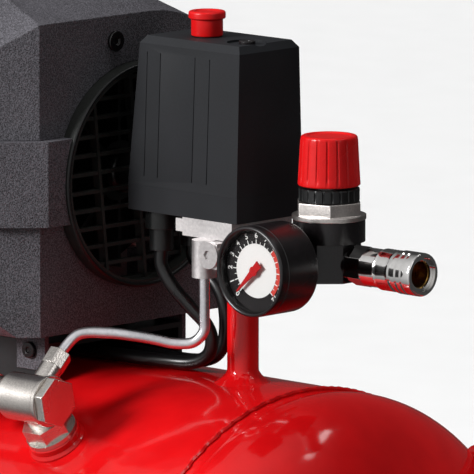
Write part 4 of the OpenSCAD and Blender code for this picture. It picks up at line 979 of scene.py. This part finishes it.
@dataclass
class Gauge:
    """Round gauge with a printed dial of plain numbers."""

    face_in: float = 6 * MM
    disc_r: float = 14.6 * MM
    span: float = 270.0
    first: float = 225.0
    bars: int = 12
    red_from: int = 8
    number_r: float = 19.0 * MM
    print_lift: float = 0.3 * MM

    def __post_init__(self) -> None:
        self.centre, self.radius, self.depth = round_node("gauge_case", Y, False)
        self.dial_r = self.radius - 2.6 * MM

    def case(self) -> None:
        """Turns the case with its rolled bezel."""
        r, inner, floor, back = self.radius, self.dial_r, self.face_in + 0.8 * MM, self.depth - MM
        outline = [(floor, 0), (floor, inner), (1.6 * MM, inner), (0.4 * MM, inner + 0.5 * MM)]
        outline.append((0, inner + 1.1 * MM))
        outline += arc(1.4 * MM, r - 1.4 * MM, 1.4 * MM, 180, 90, 6)
        outline += [(5 * MM, r), (5.2 * MM, r - 0.25 * MM), (5.6 * MM, r - 0.25 * MM), (5.8 * MM, r)]
        outline += arc(back - 2 * MM, r - 2 * MM, 2 * MM, 90, 0, 6)
        outline += [(back, 9 * MM), (self.depth, 9 * MM), (self.depth, 0)]
        housing = make_piece(lathe(outline, self.centre, Y, 128), "gauge_housing", BLACK_ZINC)
        seat(housing, "black_metal", "gauge_case")

    def disc(self, name: str, radius: float, lift: float, finish: Finish, *nodes: str) -> None:
        """Lays a flat printed disc on the dial.

        Args:
            name: the piece's name.
            radius: its radius.
            lift: how far it stands out of the dial.
            finish: its material.
            nodes: the CAD nodes it stands for.
        """
        at, thick = self.face_in - lift, 0.06 * MM
        outline = [(at, 0.0), (at, radius), (at + thick, radius), (at + thick, 0.0)]
        seat(make_piece(lathe(outline, self.centre, Y, 96), name, finish), "dial_white", *nodes)

    def spot(self, radius: float, value: float, lift: float) -> Vector:
        """Place on the dial at a radius and a reading in bar."""
        turn = radians(self.first - self.span * value / self.bars)
        return self.centre + Vector((radius * cos(turn), self.face_in - lift, radius * sin(turn)))

    def ticks(self) -> None:
        """Prints the tick marks, long at each bar and short between."""
        bm = bmesh.new()
        inner = self.disc_r - 0.8 * MM
        marks = [(v, 16.9 * MM, 0.55 * MM) for v in range(self.bars + 1)]
        marks += [(v + 0.5, 16.0 * MM, 0.36 * MM) for v in range(self.bars)]
        for value, outer, width in marks:
            made = bmesh.ops.create_cube(bm, size=1.0)["verts"]
            bmesh.ops.scale(bm, verts=made, vec=Vector((outer - inner, 0.06 * MM, width)))
            turn = radians(self.first - self.span * value / self.bars)
            bmesh.ops.rotate(bm, verts=made, cent=Vector(), matrix=Matrix.Rotation(-turn, 3, "Y"))
            middle = self.spot((inner + outer) / 2, value, self.print_lift)
            bmesh.ops.translate(bm, verts=made, vec=middle)
        seat(make_piece(bm, "dial_ticks", DIAL_WHITE), "dial_white")

    def red_arc(self) -> None:
        """Prints the red arc over the highest readings."""
        bm = bmesh.new()
        reach = (self.disc_r + 0.3 * MM, self.disc_r + 2.9 * MM)
        verts = [bm.verts.new(self.spot(radius, self.red_from, 0.22 * MM)) for radius in reach]
        edge = bm.edges.new(verts)
        angle = radians(self.span * (self.bars - self.red_from) / self.bars)
        turn = {"angle": angle, "steps": 32, "use_merge": False}
        bmesh.ops.spin(bm, geom=verts + [edge], cent=self.centre, axis=Y, **turn)
        bmesh.ops.solidify(bm, geom=list(bm.faces), thickness=0.05 * MM)
        seat(make_piece(bm, "dial_red_arc", DIAL_RED), "needle_red")

    def numbers(self) -> None:
        """Prints the plain numbers of the bar scale."""
        for value in range(self.bars + 1):
            text = bpy.data.curves.new("figure", "FONT")
            text.body = str(value)
            text.size = 4.2 * MM
            text.offset = 0.09 * MM
            text.extrude = 0.03 * MM
            text.align_x, text.align_y = "CENTER", "CENTER"
            bm = meshed(text)
            lean = radians(self.span * value / self.bars - self.span / 2)
            for angle, axis in ((radians(90), "X"), (lean, "Y")):
                bmesh.ops.rotate(bm, verts=bm.verts, cent=Vector(), matrix=Matrix.Rotation(angle, 3, axis))
            bmesh.ops.translate(bm, verts=bm.verts, vec=self.spot(self.number_r, value, self.print_lift))
            seat(make_piece(bm, f"dial_number_{value}", DIAL_WHITE), "dial_white")

    def window(self) -> None:
        """Fits the clear, slightly domed window inside the bezel."""
        r = self.radius - 2.4 * MM
        outline = [(1.6 * MM, 0), (1.7 * MM, r * 0.6), (2.0 * MM, r)]
        outline += [(2.8 * MM, r), (2.5 * MM, r * 0.6), (2.4 * MM, 0)]
        seat(make_piece(lathe(outline, self.centre, Y, 96), "gauge_window", ACRYLIC), "dial_white")

    def build(self) -> None:
        """Builds the whole gauge."""
        self.case()
        self.disc("dial_plate", self.dial_r, 0.0, DIAL_DARK, "gauge_dial")
        self.disc("dial_disc", self.disc_r, 0.15 * MM, DIAL_WHITE)
        self.ticks()
        self.red_arc()
        self.numbers()
        self.window()


@dataclass
class Coupler:
    """Quick coupler: hexagon, barrel and knurled sliding sleeve."""

    knurl_rows: int = 10
    knurl_count: int = 52
    knurl_depth: float = 0.35 * MM
    knurl_from: float = 0.8 * MM
    knurl_to: float = 11 * MM
    bore: float = 9.45 * MM
    liner_r: float = 7.49 * MM
    seat_r: float = 7.1 * MM

    def outline(self, r: float, grip: float) -> Outline:
        """Outline of the sleeve: knurled grip, neck, two bands and a rounded mouth.

        Args:
            r: the bands' radius.
            grip: the knurl's outer radius.

        Returns:
            The points, from the rear end.
        """
        first, span = self.knurl_from, self.knurl_to - self.knurl_from
        neck, low, inside, step = grip - 0.9 * MM, r - 0.7 * MM, grip - 0.8 * MM, 14 * MM
        outline = [(0, grip - 1.2 * MM), (0, grip - 0.5 * MM)]
        outline += [(first + span * i / self.knurl_rows, grip) for i in range(self.knurl_rows + 1)]
        outline += [(11.8 * MM, neck), (13 * MM, neck), (step, r), (16.5 * MM, r), (17.2 * MM, low)]
        outline += [(17.9 * MM, r), (20.4 * MM, r), (21.1 * MM, low), (21.8 * MM, r)]
        outline += arc(26.5 * MM, r - 1.2 * MM, 1.2 * MM, 90, 0, 5)
        return outline + [(27.7 * MM, self.bore), (step, self.bore), (step, inside), (0, inside)]

    def sleeve(self) -> None:
        """Turns the sleeve and presses the diamond knurl."""
        centre, r, _ = round_node("coupler_sleeve", X, False)
        grip = r - 0.45 * MM
        first, last = self.knurl_from, self.knurl_to
        bm = lathe(self.outline(r, grip), centre, X, self.knurl_count * 2)
        for v in bm.verts:
            along = v.co.x - centre.x
            arm = Vector((v.co.y - centre.y, v.co.z - centre.z))
            if not first + 1e-5 < along < last - 1e-5 or arm.length < grip - 0.4 * MM:
                continue
            column = round(atan2(arm.y, arm.x) / pi * self.knurl_count)
            row = round((along - first) / (last - first) * self.knurl_rows)
            if (column + row) % 2:
                arm *= (arm.length - self.knurl_depth) / arm.length
                v.co.y, v.co.z = centre.y + arm.x, centre.z + arm.y
        seat(make_piece(bm, "knurled_sleeve", CHROME), "sleeve_chrome", "coupler_sleeve", body="sleeve")

    def liner(self) -> None:
        """Lines the mouth with its brass plug seat and closes it with the valve."""
        centre = round_node("coupler_body", X, True)[0]
        r, rim, end = self.seat_r, (-1.5 * MM, self.liner_r), -19.9 * MM
        outline = [rim, (-1.7 * MM, r), (end, r), (end, self.liner_r), rim]
        seat(make_piece(lathe(outline, centre, X, 64), "mouth_liner", BRASS), "yellow_brass")
        outline = [(-19.8 * MM, 0), (-19.8 * MM, r), (-19.6 * MM, r), (-19.6 * MM, 2 * MM)]
        outline += [(-12 * MM, 1.6 * MM), (-11.5 * MM, 0)]
        seat(make_piece(lathe(outline, centre, X, 48), "mouth_valve", BRASS), "yellow_brass")

    def build(self) -> None:
        """Builds the whole coupler."""
        self.sleeve()
        self.liner()
        rounded("coupler_body", "coupler_barrel", CHROME, 0.5 * MM, "sleeve_chrome")


# ---- pipes, leads and valves ----


def places(*points: tuple[float, float, float]) -> list[Vector]:
    """Turns the points of a route into vectors."""
    return [Vector(point) for point in points]


@dataclass
class Pipework:
    """Check valve, unloader, tube, delivery pipe and leads."""

    # Height of the pump's delivery port over the tank, in millimetres
    port: float = 205.5

    def routes(self) -> dict[str, list[Vector]]:
        """The centrelines, in millimetres from the riser axis at the top of the tank.

        Returns:
            Each route's points by name.
        """
        low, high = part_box("tank_shell")
        reach = (high.z - low.z) / 2 + VALVE_UP
        lean = radians(VALVE_TURN)
        valve = Vector((-VALVE_BACK, -reach * sin(lean), reach * cos(lean) - reach + VALVE_UP)) / MM
        side = Vector((0, sqrt(0.5), sqrt(0.5)))
        port = self.port
        unloader = [valve + side * 22, valve + side * 27, valve + side * 33] + places(
            (-51, -74, 28.6), (-40, -62, 29), (-30, -53, 27.5), (-22, -45, 25.5), (-15, -38.5, 23.5),
            (-7, -32, 24), (-2.5, -28, 30), (-2, -28, 40), (-2, -28, 52), (-2, -28, 64),
        )
        delivery = [valve - X * d for d in (31, 38, 50, 90, 200, 250)]
        delivery += [valve + Vector((-285, 6, 0)), valve + Vector((-312, 26, 3))] + places(
            (-382, -52, 8), (-389, -34, 26), (-391, -26, 60), (-391, -22, 110), (-390, -19, 160),
            (-383, -18, port - 22), (-366, -18, port - 4), (-348, -18, port), (-336, -18, port),
            (-322, -18, port),
        )
        lead_a = places(
            (-50, -12, 68), (-50, -12, 59), (-44, -9.5, 48), (-35, -5, 37), (-27, -1, 28), (-24.5, 1, 19),
            (-28, 1.5, 10.5), (-38, 0, 5.5), (-55, -3, 4.6), (-90, -7, 4.6), (-125, -8, 4.6), (-150, -8, 4.9),
        )
        lead_b = places(
            (-50, 12, 68), (-49, 12, 61), (-41, 12, 54), (-32, 12.5, 47), (-27, 13, 38), (-26, 13.5, 26),
            (-28, 13.5, 15), (-34, 12.5, 7.5), (-46, 10.5, 4.4), (-70, 8.5, 4.4),
            (-125, 8, 4.4), (-150, 8, 4.8),
        )
        for lead, y in ((lead_a, -8), (lead_b, 8)):
            lead += places((-160, y, 8), (-165, y, 17), (-165, y, 30), (-165, y, 43.5))
        return {"unloader": unloader, "delivery": delivery, "lead_a": lead_a, "lead_b": lead_b}

    def build(self) -> None:
        """Builds the pipes and leads and rounds the castings."""
        at, routes = riser_frame(), self.routes()
        for route, steps, radius, name, finish, slot, nodes in (
            ("unloader", 8, 2.97 * MM, "unloader_pipe", SOFT_ALUMINIUM, "soft_aluminium", ["unloader_tube"]),
            ("delivery", 8, 5.95 * MM, "delivery_line", SOFT_ALUMINIUM, "soft_aluminium", ["delivery_pipe"]),
            ("lead_a", 6, 3.75 * MM, "motor_lead", SHEATH, "lead_sheath", ["leads"]),
            ("lead_b", 6, 3.75 * MM, "second_lead", SHEATH, "lead_sheath", []),
        ):
            points = catmull([at + point * MM for point in routes[route]], steps)
            seat(tube(points, radius, name, finish), slot, *nodes)
        for node, name, finish, width in (
            ("check_valve_body", "check_valve", NICKEL, 0.6 * MM),
            ("check_valve_cap", "check_valve_plug", NICKEL, 0.5 * MM),
            ("pipe_nuts", "union_nuts", NICKEL, 0.6 * MM),
            ("unloader_valve", "unloader", DIE_CAST, 0.6 * MM),
            ("manifold", "manifold_block", DIE_CAST, 0.7 * MM),
        ):
            rounded(node, name, finish, width, "nickel_casting")
        rounded("safety_valve", "relief_valve", BRASS, 0.4 * MM, "yellow_brass")


# ---- what stays as the solids are ----

CARRIED = (
    (RED_ENAMEL, "handle_tube"),
    (BLACK_PAINT, "pump_plate"),
    (BRASS, "drain_body drain_knob"),
    (CAST_ALUMINIUM, "crankcase crankcase_cover cylinder_head end_shield piston connecting_rod"),
    (CAST_IRON, "cylinder"),
    (STEEL, "valve_plate motor_stator bearings rotor crank_disc"),
    (ZINC_PLATE, "pump_bolts switch_frame safety_ring"),
    (BLACK_PP, "oil_filler air_filter fan"),
    (OIL_WINDOW, "sight_glass"),
    (NEEDLE_RED, "gauge_needle"),
)


def dress(node: str, finish: Finish) -> None:
    """Gives a CAD node that stays its own finish.

    Args:
        node: the CAD node.
        finish: its material.
    """
    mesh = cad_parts[node].data
    for i in range(len(mesh.materials)):
        mesh.materials[i] = finish.material()
    if not mesh.materials:
        mesh.materials.append(finish.material())
    LOG.info("%s keeps its shape in %s", node, finish.name)


def main() -> None:
    """Builds the studio and every sub-assembly in order."""
    logging.basicConfig(level=logging.INFO, format="%(name)s: %(message)s")
    Studio().build()
    for kind in (Tank, Wheels, Handle, Shroud, PressureSwitch, Regulator, Gauge, Coupler, Pipework):
        kind().build()
        LOG.info("%s done", kind.__name__)
    for finish, nodes in CARRIED:
        for node in nodes.split():
            dress(node, finish)


if __name__ == "__main__":
    main()
